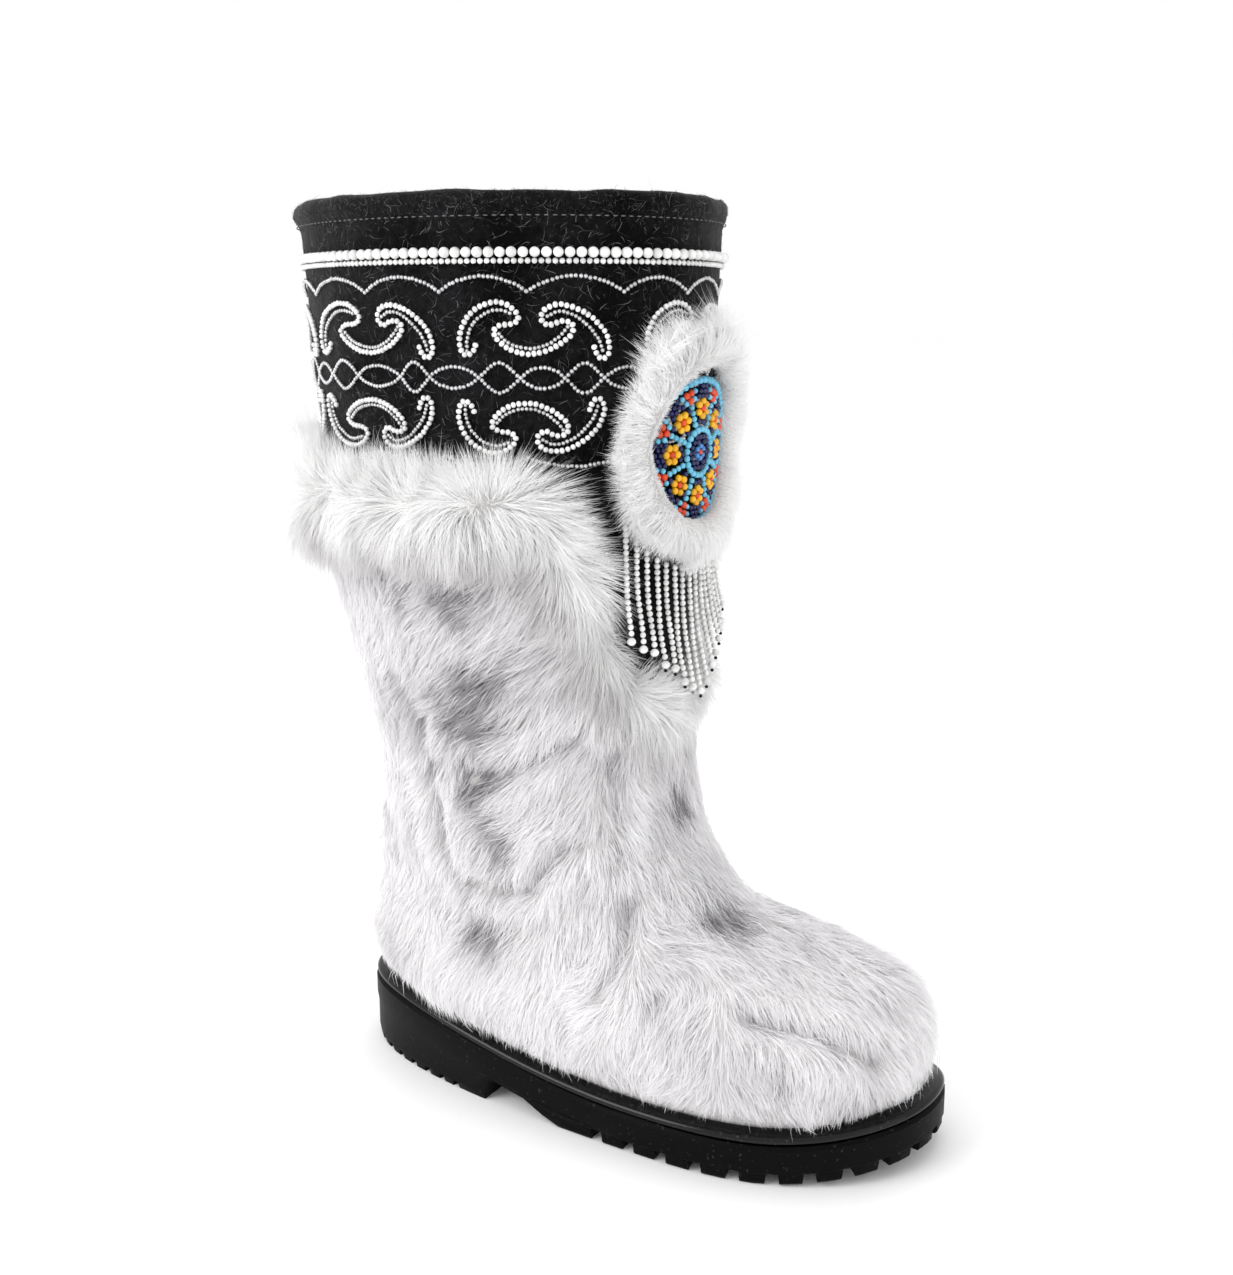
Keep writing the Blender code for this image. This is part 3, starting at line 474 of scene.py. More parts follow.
# Foot, ankle and leg: the hair of the foot is shorter, denser and less stringy
furLooks = (
    {"lift": 21.0, "clump": 0.36, "clumpTone": 0.03, "toneSpread": 0.03, "rootShade": -0.05},
    {"lift": 24.0, "clump": 0.42, "clumpTone": 0.045, "toneSpread": 0.04, "rootShade": -0.08},
    {"lift": 29.0},
)
bootSpine = np.array([(-45, 0, 400), (-45, 0, 62), (-10, 0, 48), (60, 0, 34), (118, 4, 30)]) * mm
# Seams and folds of the pelt: depth below and ridge above in mm, width in mm, points in mm
creaseRows = (
    {"depth": 2.6, "ridge": 1.2, "width": 4.5, "part": 0.4, "points": (
        (-63, -61, 192), (-54, -60, 178), (-53, -58, 163), (-49, -57, 141), (-48, -56, 120), (-42, -55, 110),
        (-33, -54, 105), (-15, -54, 103), (-6, -52, 105), (-1, -51, 113), (6, -47, 123), (16, -40, 129))},
    {"depth": 2.2, "ridge": 1.6, "width": 4.5, "part": 0.2, "points": (
        (-46, -58, 158), (-26, -57, 155), (-14, -54, 156), (-5, -51, 160), (6, -46, 169), (12, -43, 173))},
    {"depth": 1.2, "ridge": 1.6, "width": 5.0, "part": 0.5, "points": (
        (20, -32, 168), (21, -32, 146), (23, -36, 118))},
    {"depth": 1.2, "ridge": 0.8, "width": 3.0, "part": 0.1, "points": ((25, -34, 122), (29, -29, 121), (34, -22, 121))},
    {"depth": 3.0, "ridge": 1.2, "width": 4.5, "part": 0.6, "points": (
        (31, -38, 103), (33, -41, 91), (35, -45, 85), (34, -53, 77), (32, -57, 68))},
    {"depth": -2.4, "ridge": 0.0, "width": 8.0, "part": 0.6, "points": (
        (43, -44, 84), (42, -56, 69), (33, -60, 52), (22, -52, 30))},
    {"depth": 3.2, "ridge": 2.4, "width": 5.0, "part": 0.0, "points": (
        (87, -44, 70), (96, -42, 67), (108, -37, 65), (118, -32, 62), (127, -27, 58), (133, -20, 52))},
    {"depth": -1.0, "ridge": 0.0, "width": 7.0, "part": 0.6, "points": ((79, -50, 66), (83, -55, 49), (80, -52, 32))},
    # the sides that the photograph hides get the same kinds of seam and fold
    {"depth": 2.4, "ridge": 1.4, "width": 4.5, "part": 0.7, "points": (
        (-60, 62, 195), (-55, 58, 165), (-50, 57, 135), (-40, 56, 112), (-18, 54, 104), (4, 48, 112))},
    {"depth": 2.4, "ridge": 1.6, "width": 4.5, "part": 0.5, "points": ((30, 40, 100), (36, 50, 82), (36, 58, 66))},
    {"depth": 2.2, "ridge": 1.4, "width": 5.0, "part": 0.1, "points": ((88, 46, 66), (105, 44, 60), (122, 34, 54))},
    {"depth": 1.6, "ridge": 1.6, "width": 6.0, "part": 0.3, "points": ((-105, -24, 108), (-110, 0, 104), (-105, 24, 108))},
    {"depth": 1.4, "ridge": 1.2, "width": 5.0, "part": 0.4, "points": ((-104, 0, 215), (-103, 0, 160), (-106, 0, 125))},
)
# Grey patches: middle in mm, reach in mm across and down, strength
patchRows = (
    (-25, -67, 229, 11, 9, 0.85), (-49, -67, 211, 5, 7, 0.35), (-22, -63, 197, 11, 8, 0.75), (-27, -60, 180, 15, 9, 0.85),
    (-26, -57, 150, 8, 6, 0.8), (-19, -56, 134, 8, 10, 0.5), (-17, -55, 123, 6, 7, 0.45), (-38, -52, 97, 6, 6, 0.5),
    (-28, -51, 84, 10, 10, 0.75), (34, -3, 139, 5, 6, 0.8), (21, -33, 169, 6, 7, 0.35), (60, -11, 94, 12, 7, 0.75),
    (83, 3, 82, 10, 5, 0.35), (116, 15, 73, 8, 6, 0.35), (103, -47, 52, 8, 12, 0.4), (102, -47, 40, 8, 10, 0.35),
    (50, -53, 74, 6, 6, 0.3), (21, -42, 107, 7, 8, 0.3), (-6, -59, 207, 8, 8, 0.3), (-50, -64, 228, 8, 7, 0.35),
    (-30, 66, 226, 12, 9, 0.7), (-24, 62, 190, 12, 9, 0.75), (-60, 58, 160, 9, 10, 0.6), (-20, 55, 140, 9, 8, 0.6),
    (-32, 52, 92, 9, 9, 0.6), (40, 44, 90, 9, 7, 0.5), (92, 44, 60, 10, 10, 0.6), (20, 54, 50, 9, 8, 0.4),
    (-106, 10, 190, 8, 12, 0.6), (-110, -12, 120, 9, 9, 0.5), (-116, 20, 80, 9, 9, 0.5), (70, 30, 80, 9, 6, 0.5),
)
# Lie of the hair: place in mm, then its way
combRows = (
    (-10, -60, 230, -0.75, 0.0, -0.65), (-60, -60, 220, -0.25, 0.0, -1.0), (-25, -60, 185, -0.75, 0.0, -0.75),
    (-80, -45, 170, 0.05, 0.0, -1.0), (-25, -57, 135, -0.60, 0.0, -0.95), (10, -45, 150, -0.50, 0.2, -0.95),
    (25, -25, 200, -0.60, 0.2, -0.6), (28, -22, 145, -0.1, 0.35, -1.0), (30, 10, 150, 0.0, 0.3, -1.0),
    (-55, -52, 95, -0.35, 0.0, -1.0), (-90, -35, 60, -0.15, 0.0, -1.0), (-10, -50, 70, -0.30, 0.0, -1.0),
    (15, -42, 100, -0.45, 0.0, -1.0), (45, -20, 108, 0.75, 0.15, -0.6), (45, -50, 62, -0.25, -0.1, -1.0),
    (62, -20, 92, 0.85, -0.25, -0.4), (75, -48, 58, -0.10, -0.2, -1.0), (90, 0, 80, 0.95, -0.1, -0.3),
    (105, -42, 50, 0.10, -0.2, -1.0), (112, -12, 72, 0.85, -0.35, -0.5), (135, 0, 55, 0.6, -0.1, -1.0),
    (125, 30, 55, 0.4, 0.5, -1.0), (90, 45, 55, 0.15, 0.3, -1.0), (60, 30, 85, 0.6, 0.6, -0.6),
    (20, 52, 60, 0.1, 0.2, -1.0), (-10, 55, 100, -0.3, 0.0, -1.0), (-25, 60, 190, -0.5, 0.0, -0.9),
    (-60, 50, 140, -0.2, 0.0, -1.0), (-90, 30, 60, -0.1, 0.0, -1.0), (-105, 0, 200, 0.0, 0.15, -1.0),
    (-105, 0, 120, 0.0, -0.1, -1.0), (30, 20, 200, -0.3, -0.3, -0.9),
)


def smoothNoise(spots, scale, seed):
    shift = Vector((seed * 7.3, seed * 3.1, seed * 5.7))
    return np.array([noise.noise(Vector(spot) * scale + shift) for spot in spots])


def foldPelt(mesh):
    spots, normals, corners = meshArrays(mesh)
    gap, away = nearestOnPath(spots, bootSpine)
    outer = np.sum(away * normals, axis=1) > 0
    height = np.zeros(len(spots))
    for row in creaseRows:
        gap, away = nearestOnPath(spots, np.array(row["points"]) * mm)
        width = row["width"] * mm
        below = np.exp(-(gap / width) ** 2)
        beside = np.exp(-((gap - 1.7 * width) / width) ** 2)
        height += (-1.9 * row["depth"] * below + 1.6 * row["ridge"] * beside) * mm
    height = np.clip(height, -7.0 * mm, 2.2 * mm)
    height += smoothNoise(spots, 34.0, 1) * 1.3 * mm + smoothNoise(spots, 75.0, 2) * 0.6 * mm
    calm = np.clip((spots[:, 2] - 0.026) / 0.02, 0.15, 1.0)
    moved = spots + normals * (height * calm * outer)[:, None]
    mesh.vertices.foreach_set("co", moved.ravel())
    mesh.update()
    return outer, height


def combField(spots, normals):
    total = np.zeros_like(spots)
    for row in combRows:
        gap = np.linalg.norm(spots - np.array(row[:3]) * mm, axis=1)
        total += np.exp(-(gap / 0.030) ** 2)[:, None] * unit(np.array(row[3:]))
        total += 1e-4 * np.array((0.0, 0.0, -1.0))
    combs = toPlane(total, normals)
    for row in creaseRows:
        gap, away = nearestOnPath(spots, np.array(row["points"]) * mm)
        near = np.exp(-(gap / (row["width"] * 2.2 * mm)) ** 2) * row["part"]
        combs = combs + near[:, None] * unit(away)
    twist = (smoothNoise(spots, 42.0, 4) * 0.75 + smoothNoise(spots, 110.0, 5) * 0.4)[:, None]
    combs = toPlane(combs, normals)
    return toPlane(combs + np.cross(normals, combs) * twist, normals)


def patchAndShadeField(spots, height):
    grey = np.zeros(len(spots))
    for x, y, z, wide, tall, strength in patchRows:
        gap = (spots - np.array((x, y, z)) * mm) / mm
        level = np.hypot(gap[:, 0], gap[:, 1]) / wide
        grey = np.maximum(grey, strength * np.exp(-(level ** 2 + (gap[:, 2] / tall) ** 2) * 0.55))
    ragged = smoothNoise(spots, 140.0, 6) * 0.55 + smoothNoise(spots, 60.0, 7) * 0.4
    # painted shade in the hollows of the folds, and a few broad areas a little greyer at random
    broadGreyAndHollowShade = np.clip(0.12 + 0.7 * smoothNoise(spots, 28.0, 8), 0.0, 1.0) + 0.8 * np.clip(-height / (3.0 * mm), 0.0, 1.0)
    # painted shade along the troughs of the creases
    for row in creaseRows:
        if row["depth"] > 0:
            gap, away = nearestOnPath(spots, np.array(row["points"]) * mm)
            grey = np.maximum(grey, 0.15 * row["depth"] * np.exp(-(gap / (0.7 * row["width"] * mm)) ** 2))
    share = np.interp(spots[:, 2], (0.09, 0.15), (0.14, 0.40))
    return np.clip(grey * (1.0 + 1.3 * ragged) + broadGreyAndHollowShade * share, 0.0, 1.0)


def makeUpper():
    skin = smoothCopy("upper", 2)
    outer, height = foldPelt(skin)
    spots, normals, corners = meshArrays(skin)
    combs = combField(spots, normals)
    grey = patchAndShadeField(spots, height)
    # the hide takes the grey patches and the painted crease and hollow shade as well
    storeTone(skin, 1.0 - 0.55 * grey)
    cuffBm = weldedCopy("cuff")
    cuffTree = BVHTree.FromBMesh(cuffBm)
    cuffBm.free()
    hidden = np.array([cuffTree.ray_cast(Vector(spot) + Vector(normal) * 0.0005, Vector(normal), 0.02)[0] is not None
                       if wall and spot[2] > 0.15 else False
                       for spot, normal, wall in zip(spots, normals, outer)])
    low = np.clip((spots[:, 2] - 0.022) / 0.006, 0.0, 1.0)
    weights = outer * np.where(hidden, 0.12, 1.0) * np.clip(low + 0.3, 0.0, 1.0)
    lengths = upperLook["length"] * mm * (1.0 + 0.25 * smoothNoise(spots, 40.0, 9))
    lengths *= np.clip((spots[:, 2] - 0.0215) / 0.012, 0.45, 1.05)
    roots = scatter(skin, weights.astype(float), upperLook["hairs"], 11, combs, lengths, grey)
    spots, normals, combs, lengths, grey = roots
    rng = np.random.default_rng(12)
    streak = 0.5 + 0.9 * smoothNoise(spots, 330.0, 14)
    greyHair = 0.65 * rng.random(len(grey)) + 0.35 * streak < grey * 1.15
    tones = np.where(greyHair, 1.0 - rng.uniform(0.35, 0.95, len(grey)) * np.clip(grey + 0.2, 0, 1), 0.98)
    tones -= np.interp(spots[:, 2], (0.09, 0.15), (0.0, 0.04))
    tones -= 0.22 * np.clip(smoothNoise(spots, 34.0, 15), 0.0, 1.0)
    combs = toPlane(combs, normals)
    order = np.argsort(spots[:, 2])
    names = ("footFur", "ankleFur", "legFur")
    lengths *= np.interp(spots[:, 2], (0.07, 0.15), (1.0, 1.18))
    for name, look, part in zip(names, furLooks, np.array_split(order, upperLook["pieces"])):
        growHair(name, spots[part], normals[part], combs[part], lengths[part], tones[part],
                 dict(upperLook, **look), [furWhite], 13)
    inner = ~outer
    flags = np.empty(len(skin.polygons), dtype=np.int32)
    for face in skin.polygons:
        flags[face.index] = 1 if sum(inner[v] for v in face.vertices) > len(face.vertices) / 2 else 0
    addPiece("hide", skin, [underfur, lining], ["upper"])
    skin.polygons.foreach_set("material_index", flags)


makeUpper()
print("upper ready")


# Felt shaft with its hem
shaftLook = {
    "fibres": 6500, "fuzz": 11000, "width": 0.14 * mm, "lift": 7.0, "liftSpread": 6.0, "swing": 0.0, "curl": 1.15, "wild": 0.0,
    "bend": 1.0, "droop": 0.0, "clumpOf": 20, "clump": 0.0, "clumpTone": 0.0, "steps": (0.0, 0.35, 0.7, 1.0),
    "roll": 20.0, "toneSpread": 0.12, "rootShade": 0.0, "tipTone": 0.0,
}


def makeShaft():
    mesh = smoothCopy("shaft", 2)
    spots, normals, corners = meshArrays(mesh)
    height = smoothNoise(spots, 45.0, 21) * 0.5 * mm + smoothNoise(spots, 160.0, 22) * 0.25 * mm
    near = np.clip((spots[:, 2] - 0.24) / 0.05, 0.0, 1.0)
    hem = np.clip((spots[:, 2] - 0.3725) / 0.003, 0.0, 1.0)
    height = height * near + hem * (1.3 * mm + smoothNoise(spots, 55.0, 26) * 1.1 * mm)
    mesh.vertices.foreach_set("co", (spots + normals * height[:, None]).ravel())
    mesh.update()
    addPiece("feltShaft", mesh, [felt], ["shaft"])
    gap = np.hypot(normals[:, 0], normals[:, 1])
    centre = spots - np.array((legMiddle, 0.0, 0.0))
    faces = (np.sum(centre[:, :2] * normals[:, :2], axis=1) > 0) * (spots[:, 2] > 0.26)
    hem = np.clip((spots[:, 2] - 0.368) / 0.004, 0.0, 1.0)
    fuzz = scatter(mesh, faces * gap * 0.15 + hem, shaftLook["fuzz"], 27)
    spots, normals = scatter(mesh, faces.astype(float) * gap, shaftLook["fibres"], 23)
    rng = np.random.default_rng(24)
    ways = toPlane(rng.normal(size=spots.shape), normals)
    growHair("feltFibres", spots, normals, ways, rng.uniform(2.0, 5.5, len(spots)) * mm,
             rng.uniform(0.0, 0.65, len(spots)), shaftLook, [feltFibre], 25)
    spots, normals = fuzz
    ways = toPlane(rng.normal(size=spots.shape), normals)
    growHair("feltFuzz", spots, normals, ways, rng.uniform(0.8, 2.4, len(spots)) * mm,
             rng.uniform(0.0, 0.2, len(spots)), dict(shaftLook, lift=50.0, liftSpread=25.0, steps=(0.0, 0.5, 1.0)),
             [feltFibre], 28)


makeShaft()
print("shaft ready")


# Beads, laid one by one on lines drawn on the unrolled wall
def beadTemplate(around, along):
    bm = bmesh.new()
    bmesh.ops.create_uvsphere(bm, u_segments=around, v_segments=along, radius=0.5)
    bmesh.ops.triangulate(bm, faces=bm.faces)
    spots = np.array([vert.co[:] for vert in bm.verts])
    corners = np.array([[vert.index for vert in face.verts] for face in bm.faces])
    bm.free()
    return spots, corners


def layBeads(name, beads, materials, replaced=(), around=7, along=5):
    spots, corners = beadTemplate(around, along)
    allSpots, allCorners, kinds = [], [], []
    for number, (place, way, normal, length, thickness, kind) in enumerate(beads):
        axis = Vector(way).normalized()
        across = Vector(normal).cross(axis).normalized()
        up = axis.cross(across)
        frameMatrix = np.array([across * thickness, up * thickness, axis * length])
        allSpots.append(spots @ frameMatrix + np.array(place))
        allCorners.append(corners + number * len(spots))
        kinds += [kind] * len(corners)
    spots = np.concatenate(allSpots)
    corners = np.concatenate(allCorners)
    mesh = bpy.data.meshes.new(name)
    mesh.vertices.add(len(spots))
    mesh.vertices.foreach_set("co", spots.reshape(-1).astype(np.float32))
    mesh.loops.add(corners.size)
    mesh.loops.foreach_set("vertex_index", corners.ravel().astype(np.int32))
    mesh.polygons.add(len(corners))
    mesh.polygons.foreach_set("loop_start", np.arange(0, corners.size, 3, dtype=np.int32))
    mesh.update(calc_edges=True)
    piece = addPiece(name, mesh, materials, replaced)
    mesh.polygons.foreach_set("material_index", np.array(kinds, dtype=np.int32))
    mesh.shade_smooth()
    print(name, "beads", len(beads), "triangles", len(corners))
    return piece


def evenStops(points, pitch):
    points = np.array(points, dtype=float)
    run = np.concatenate(([0.0], np.cumsum(np.linalg.norm(np.diff(points, axis=0), axis=1))))
    stops = max(2, round(run[-1] / pitch) + 1)
    at = np.linspace(0.0, run[-1], stops)
    return np.stack([np.interp(at, run, points[:, k]) for k in range(points.shape[1])], axis=1)


def roundedLine(points, rounds=3):
    points = np.array(points, dtype=float)
    for count in range(rounds):
        low = points[:-1] * 0.75 + points[1:] * 0.25
        high = points[:-1] * 0.25 + points[1:] * 0.75
        cut = np.empty((2 * len(low), points.shape[1]))
        cut[0::2], cut[1::2] = low, high
        points = np.concatenate((points[:1], cut, points[-1:]))
    return points


def sewLine(points, pitch, size, kind, rng, jitter=0.12):
    beads = []
    stops = evenStops(np.array(points) * mm, pitch * mm)
    for number, (s, z) in enumerate(stops):
        before, after = stops[max(0, number - 1)], stops[min(len(stops) - 1, number + 1)]
        s += rng.uniform(-jitter, jitter) * mm
        z += rng.uniform(-jitter, jitter) * mm
        place, normal = wallPoint(s, z, size * 0.42 * mm)
        along = normal.cross(Vector((0, 0, 1))).normalized() * -1.0
        way = along * (after[0] - before[0]) + Vector((0, 0, 1)) * (after[1] - before[1])
        thick = size * rng.uniform(0.92, 1.06) * mm
        beads.append((place, way, normal, min(pitch * 0.97, size) * mm, thick, kind))
    return beads


beadwork = {
    "pearlHeight": 358.6, "pearlSize": 4.1, "seedHeight": 355.5, "seedSize": 2.4, "outlineSize": 2.45,
    "silverSize": 1.75, "upperRow": 330.3, "lowerRow": 295.0, "halfWide": 28.7, "halfTall": 10.6,
    "chainHeight": 312.9, "stitchHeight": 371.6,
}
# Middle of each motif and its reach to the back in mm; the one at the bend of the wall is sewn wider
motifRows = ((-2.5, 28.7), (-74.5, 28.7), (-142.5, 39.5), (-217.0, 28.7), (71.5, 28.7), (145.0, 28.7), (220.0, 28.7))
motifOutline = (
    (-0.76, -0.50), (-0.81, -0.80), (-0.93, -0.90), (-1.0, -0.43), (-0.945, 0.18), (-0.81, 0.67), (-0.61, 0.95),
    (-0.435, 1.0), (-0.26, 0.80), (-0.17, 0.44), (-0.24, 0.22), (-0.455, 0.20), (-0.54, -0.07), (-0.435, -0.43),
    (-0.26, -0.73), (-0.02, -0.84), (0.25, -0.64), (0.47, -0.22), (0.53, 0.16), (0.43, 0.36), (0.29, 0.30),
    (0.19, 0.13), (0.085, 0.39), (0.13, 0.76), (0.33, 0.94), (0.565, 0.78), (0.80, 0.39), (0.94, -0.07),
    (1.0, -0.53), (0.96, -0.94), (0.85, -0.98), (0.785, -0.58),
)
motifInner = (
    ((-0.885, -0.71), (-0.885, -0.22), (-0.81, 0.23), (-0.65, 0.59), (-0.475, 0.75), (-0.30, 0.61)),
    ((-0.45, -0.10), (-0.36, -0.38), (-0.20, -0.57), (0.0, -0.64), (0.21, -0.46), (0.37, -0.12), (0.44, 0.13)),
    ((0.175, 0.49), (0.31, 0.70), (0.525, 0.56), (0.70, 0.20), (0.84, -0.22), (0.90, -0.68)),
)
scallopCusps = (-257.0, -220.0, -183.5, -146.0, -110.6, -77.0, -40.5, -10.9, 16.9, 53.0, 89.0, 126.0, 163.0, 200.0,
                232.0, 261.3)
chainCrossings = (-257.0, -241.0, -222.0, -206.0, -190.0, -174.0, -153.6, -130.0, -116.1, -95.6, -79.4, -62.9, -47.7,
                  -28.0, -13.0, 6.0, 21.0, 41.0, 56.0, 76.0, 91.0, 111.0, 126.0, 146.0, 161.0, 181.0, 196.0, 216.0,
                  231.0, 246.0, 261.3)


def makeBeadwork():
    rng = random.Random(31)
    run = perimeter / mm
    beads = []
    pearls = []
    count = round(run / (beadwork["pearlSize"] * 1.03))
    for number in range(count):
        s = (number / count - 0.5) * run * mm
        place, normal = wallPoint(s, beadwork["pearlHeight"] * mm, 0.47 * beadwork["pearlSize"] * mm)
        size = beadwork["pearlSize"] * rng.uniform(0.96, 1.02) * mm
        pearls.append((place, normal.cross(Vector((0, 0, 1))), normal, size, size, 0))
    layBeads("pearlRow", pearls, [whiteGlass], ["pearl_band"], 10, 7)
    count = round(run / 2.5)
    for number in range(count):
        s = (number / count - 0.5) * run * mm
        place, normal = wallPoint(s, beadwork["seedHeight"] * mm, 1.1 * mm)
        beads.append((place, normal.cross(Vector((0, 0, 1))), normal, 2.3 * mm,
                      beadwork["seedSize"] * rng.uniform(0.94, 1.04) * mm, 0))
    for row, flip in (("upperRow", 1.0), ("lowerRow", -1.0)):
        for centre, backReach in motifRows:
            def place(points):
                return [(centre + x * (backReach if x < 0 else beadwork["halfWide"]) - (1.5 if flip < 0 else 0.0),
                         beadwork[row] + flip * y * beadwork["halfTall"]) for x, y in points]

            beads += sewLine(roundedLine(place(motifOutline), 2), 2.15, beadwork["outlineSize"], 0, rng)
            for inner in motifInner:
                beads += sewLine(roundedLine(place(inner), 2), 1.65, beadwork["silverSize"], 1, rng)
    for base, rise, low in ((344.5, 5.6, 1.0), (283.0, 3.4, -1.0)):
        for start, end in zip(scallopCusps, scallopCusps[1:]):
            arc = [(start + (end - start) * t, base + low * rise * math.sin(math.pi * t) ** 0.8)
                   for t in np.linspace(0.0, 1.0, 17)]
            beads += sewLine(arc, 1.75, 1.85, 1, rng, 0.18)
    for number, (start, end) in enumerate(zip(chainCrossings, chainCrossings[1:])):
        rise = 5.6 if number % 2 else 4.0
        power = 1.25 if number % 2 else 0.75
        for side in (1.0, -1.0):
            arc = [(start + (end - start) * t, beadwork["chainHeight"] + side * rise * math.sin(math.pi * t) ** power)
                   for t in np.linspace(0.0, 1.0, 13)]
            beads += sewLine(arc, 1.7, 1.8, 1, rng, 0.15)
    layBeads("sewnBeads", beads, [whiteGlass, silverGlass], (), 5, 4)
    stitches = []
    count = round(run / 3.1)
    for number in range(count):
        s = (number / count - 0.5) * run * mm
        place, normal = wallPoint(s, beadwork["stitchHeight"] * mm, 0.25 * mm)
        stitches.append((place, normal.cross(Vector((0, 0, 1))), normal, 1.9 * mm, 0.55 * mm, 0))
    layBeads("hemStitches", stitches, [threadGrey], (), 6, 4)


makeBeadwork()
print("beadwork ready")


# Fur on a soft roll that follows a path on the wall: the cuff and the medallion's ring
def furRoll(name, rows, look, ways, seed, replaced):
    spots, outward, sizes, shares = [], [], [], []
    for s, z, out, radius, share in evenStops(roundedLine(rows, 2), look["step"])[:-1]:
        place, normal = wallPoint(s * mm, z * mm, out * mm)
        spots.append(place)
        outward.append(normal)
        sizes.append(radius)
        shares.append(share)
    spots, outward, shares = np.array(spots), np.array(outward), np.array(shares)
    along = unit(np.roll(spots, -1, axis=0) - np.roll(spots, 1, axis=0))
    across = unit(np.cross(outward, along))

    curveData = bpy.data.curves.new(name, "CURVE")
    curveData.dimensions = "3D"
    curveData.bevel_depth = mm
    curveData.bevel_resolution = 4
    spline = curveData.splines.new("POLY")
    spline.points.add(len(spots) - 1)
    for point, place, radius in zip(spline.points, spots, sizes):
        point.co = (*place, 1.0)
        point.radius = radius
    spline.use_cyclic_u = True
    curve = bpy.data.objects.new(name + "Path", curveData)
    bpy.context.scene.collection.objects.link(curve)
    graph = bpy.context.evaluated_depsgraph_get()
    roll = bpy.data.meshes.new_from_object(curve.evaluated_get(graph))
    bpy.data.objects.remove(curve)
    roll.materials.clear()
    rollSpots, rollNormals, corners = meshArrays(roll)
    nearest = np.array([np.argmin(np.sum((spots - spot) ** 2, axis=1)) for spot in rollSpots])
    middle, wallNormals, sideways = spots[nearest], outward[nearest], across[nearest]
    rollNormals = unit(rollSpots - middle)
    beside = np.sum((rollSpots - middle) * sideways, axis=1, keepdims=True)
    rollSpots = rollSpots + sideways * beside * (look["tall"] - 1.0)
    lumps = smoothNoise(rollSpots, 60.0, seed) * 1.6 * mm
    roll.vertices.foreach_set("co", (rollSpots + rollNormals * lumps[:, None]).ravel())
    roll.update()
    facing = np.sum(rollNormals * wallNormals, axis=1)
    lean = np.sum(rollNormals * sideways, axis=1)
    combs = ways(rollSpots, rollNormals, wallNormals, sideways, lean)
    roots = scatter(roll, np.clip((facing + 0.45) * 3.0, 0.0, 1.0), look["hairs"], seed, combs, rollNormals, lean,
                    shares[nearest])
    place, normal, combs, rollNormals, lean, share = roots
    rng = np.random.default_rng(seed)
    combs = unit(combs)
    lifted = unit(rollNormals - combs * np.sum(rollNormals * combs, axis=1, keepdims=True) + 1e-6)
    lengths = look["length"] * mm * share * (1.0 + 0.5 * smoothNoise(place, 60.0, seed + 1))
    lengths *= 1.0 - look["innerTrim"] * np.clip(-lean + 0.25, 0.0, 1.0)
    tones = look["baseTone"] - 0.25 * np.maximum(smoothNoise(place, 70.0, seed + 2), 0.0)
    # hairs on the lower side of the roll are made greyer: painted shade under the cuff
    tones = np.clip(tones - look["lowSideShade"] * np.clip(0.15 - lean, 0.0, 1.0), 0.0, 1.0)
    storeTone(roll, np.full(len(rollSpots), 0.95))
    roll.shade_smooth()
    addPiece(name + "Roll", roll, [underfur], replaced)
    growHair(name + "Fur", place, lifted, combs, lengths, tones, look, [deepWhite], seed)


cuffLook = {
    "step": 3.0, "hairs": 64000, "length": 17.0, "innerTrim": 0.0, "width": 0.26 * mm, "lift": 13.0,
    "liftSpread": 14.0, "swing": 13.0, "curl": 0.16, "wild": 0.04, "bend": 0.55, "droop": 0.12, "clumpOf": 12, "clump": 0.34,
    "clumpTone": 0.06, "steps": (0.0, 0.5, 1.0), "roll": 35.0, "toneSpread": 0.04, "rootShade": -0.1,
    "tipTone": 0.08, "tall": 1.55, "baseTone": 0.95, "lowSideShade": 0.42,
}
# Middle of the cuff: s along the wall, height, distance off it and radius of the roll in mm, share of the hair's length
cuffRows = (
    (-259.0, 265.0, 9.5, 7.5, 1.1), (-225.0, 264.5, 9.5, 7.5, 1.1), (-190.0, 264.0, 9.5, 7.5, 1.1),
    (-150.0, 262.0, 9.0, 7.0, 1.0), (-120.0, 261.5, 8.5, 6.5, 1.0), (-98.0, 263.0, 8.0, 6.5, 1.1),
    (-81.0, 264.0, 7.0, 6.0, 1.2), (-70.0, 256.0, 5.5, 5.0, 1.2), (-62.0, 238.0, 4.5, 4.0, 1.05),
    (-55.0, 216.0, 4.0, 3.5, 0.95), (-43.0, 194.0, 4.0, 3.5, 1.0), (-22.0, 178.0, 3.5, 3.5, 1.0),
    (0.0, 169.0, 3.5, 3.5, 1.0), (22.0, 178.0, 3.5, 3.5, 1.0), (43.0, 194.0, 4.0, 3.5, 1.0),
    (55.0, 216.0, 4.0, 3.5, 0.95), (62.0, 238.0, 4.5, 4.0, 1.05), (70.0, 256.0, 5.5, 5.0, 1.2),
    (81.0, 264.0, 7.0, 6.0, 1.2), (98.0, 263.0, 8.0, 6.5, 1.1), (120.0, 261.5, 8.5, 6.5, 1.0),
    (150.0, 262.0, 9.0, 7.0, 1.0), (190.0, 264.0, 9.5, 7.5, 1.1), (225.0, 264.5, 9.5, 7.5, 1.1),
    (-259.0 + perimeter / mm, 265.0, 9.5, 7.5, 1.1),
)


def cuffWays(spots, normals, wallNormals, sideways, lean):
    down = np.array((0.0, 0.0, -1.0))
    lean = lean + 0.55 * smoothNoise(spots, 55.0, 43)
    swirl = (0.9 * smoothNoise(spots, 75.0, 44))[:, None] * np.cross(wallNormals, sideways)
    front = np.clip((wallNormals[:, 0] - 0.35) / 0.3, 0.0, 1.0)[:, None]
    inwards = np.clip(-lean, 0.0, 1.0)[:, None] * 0.18 * front
    return unit(sideways * (lean * 1.25)[:, None] + swirl + normals * 0.25 - wallNormals * inwards
                + down * (0.30 + 0.50 * front))


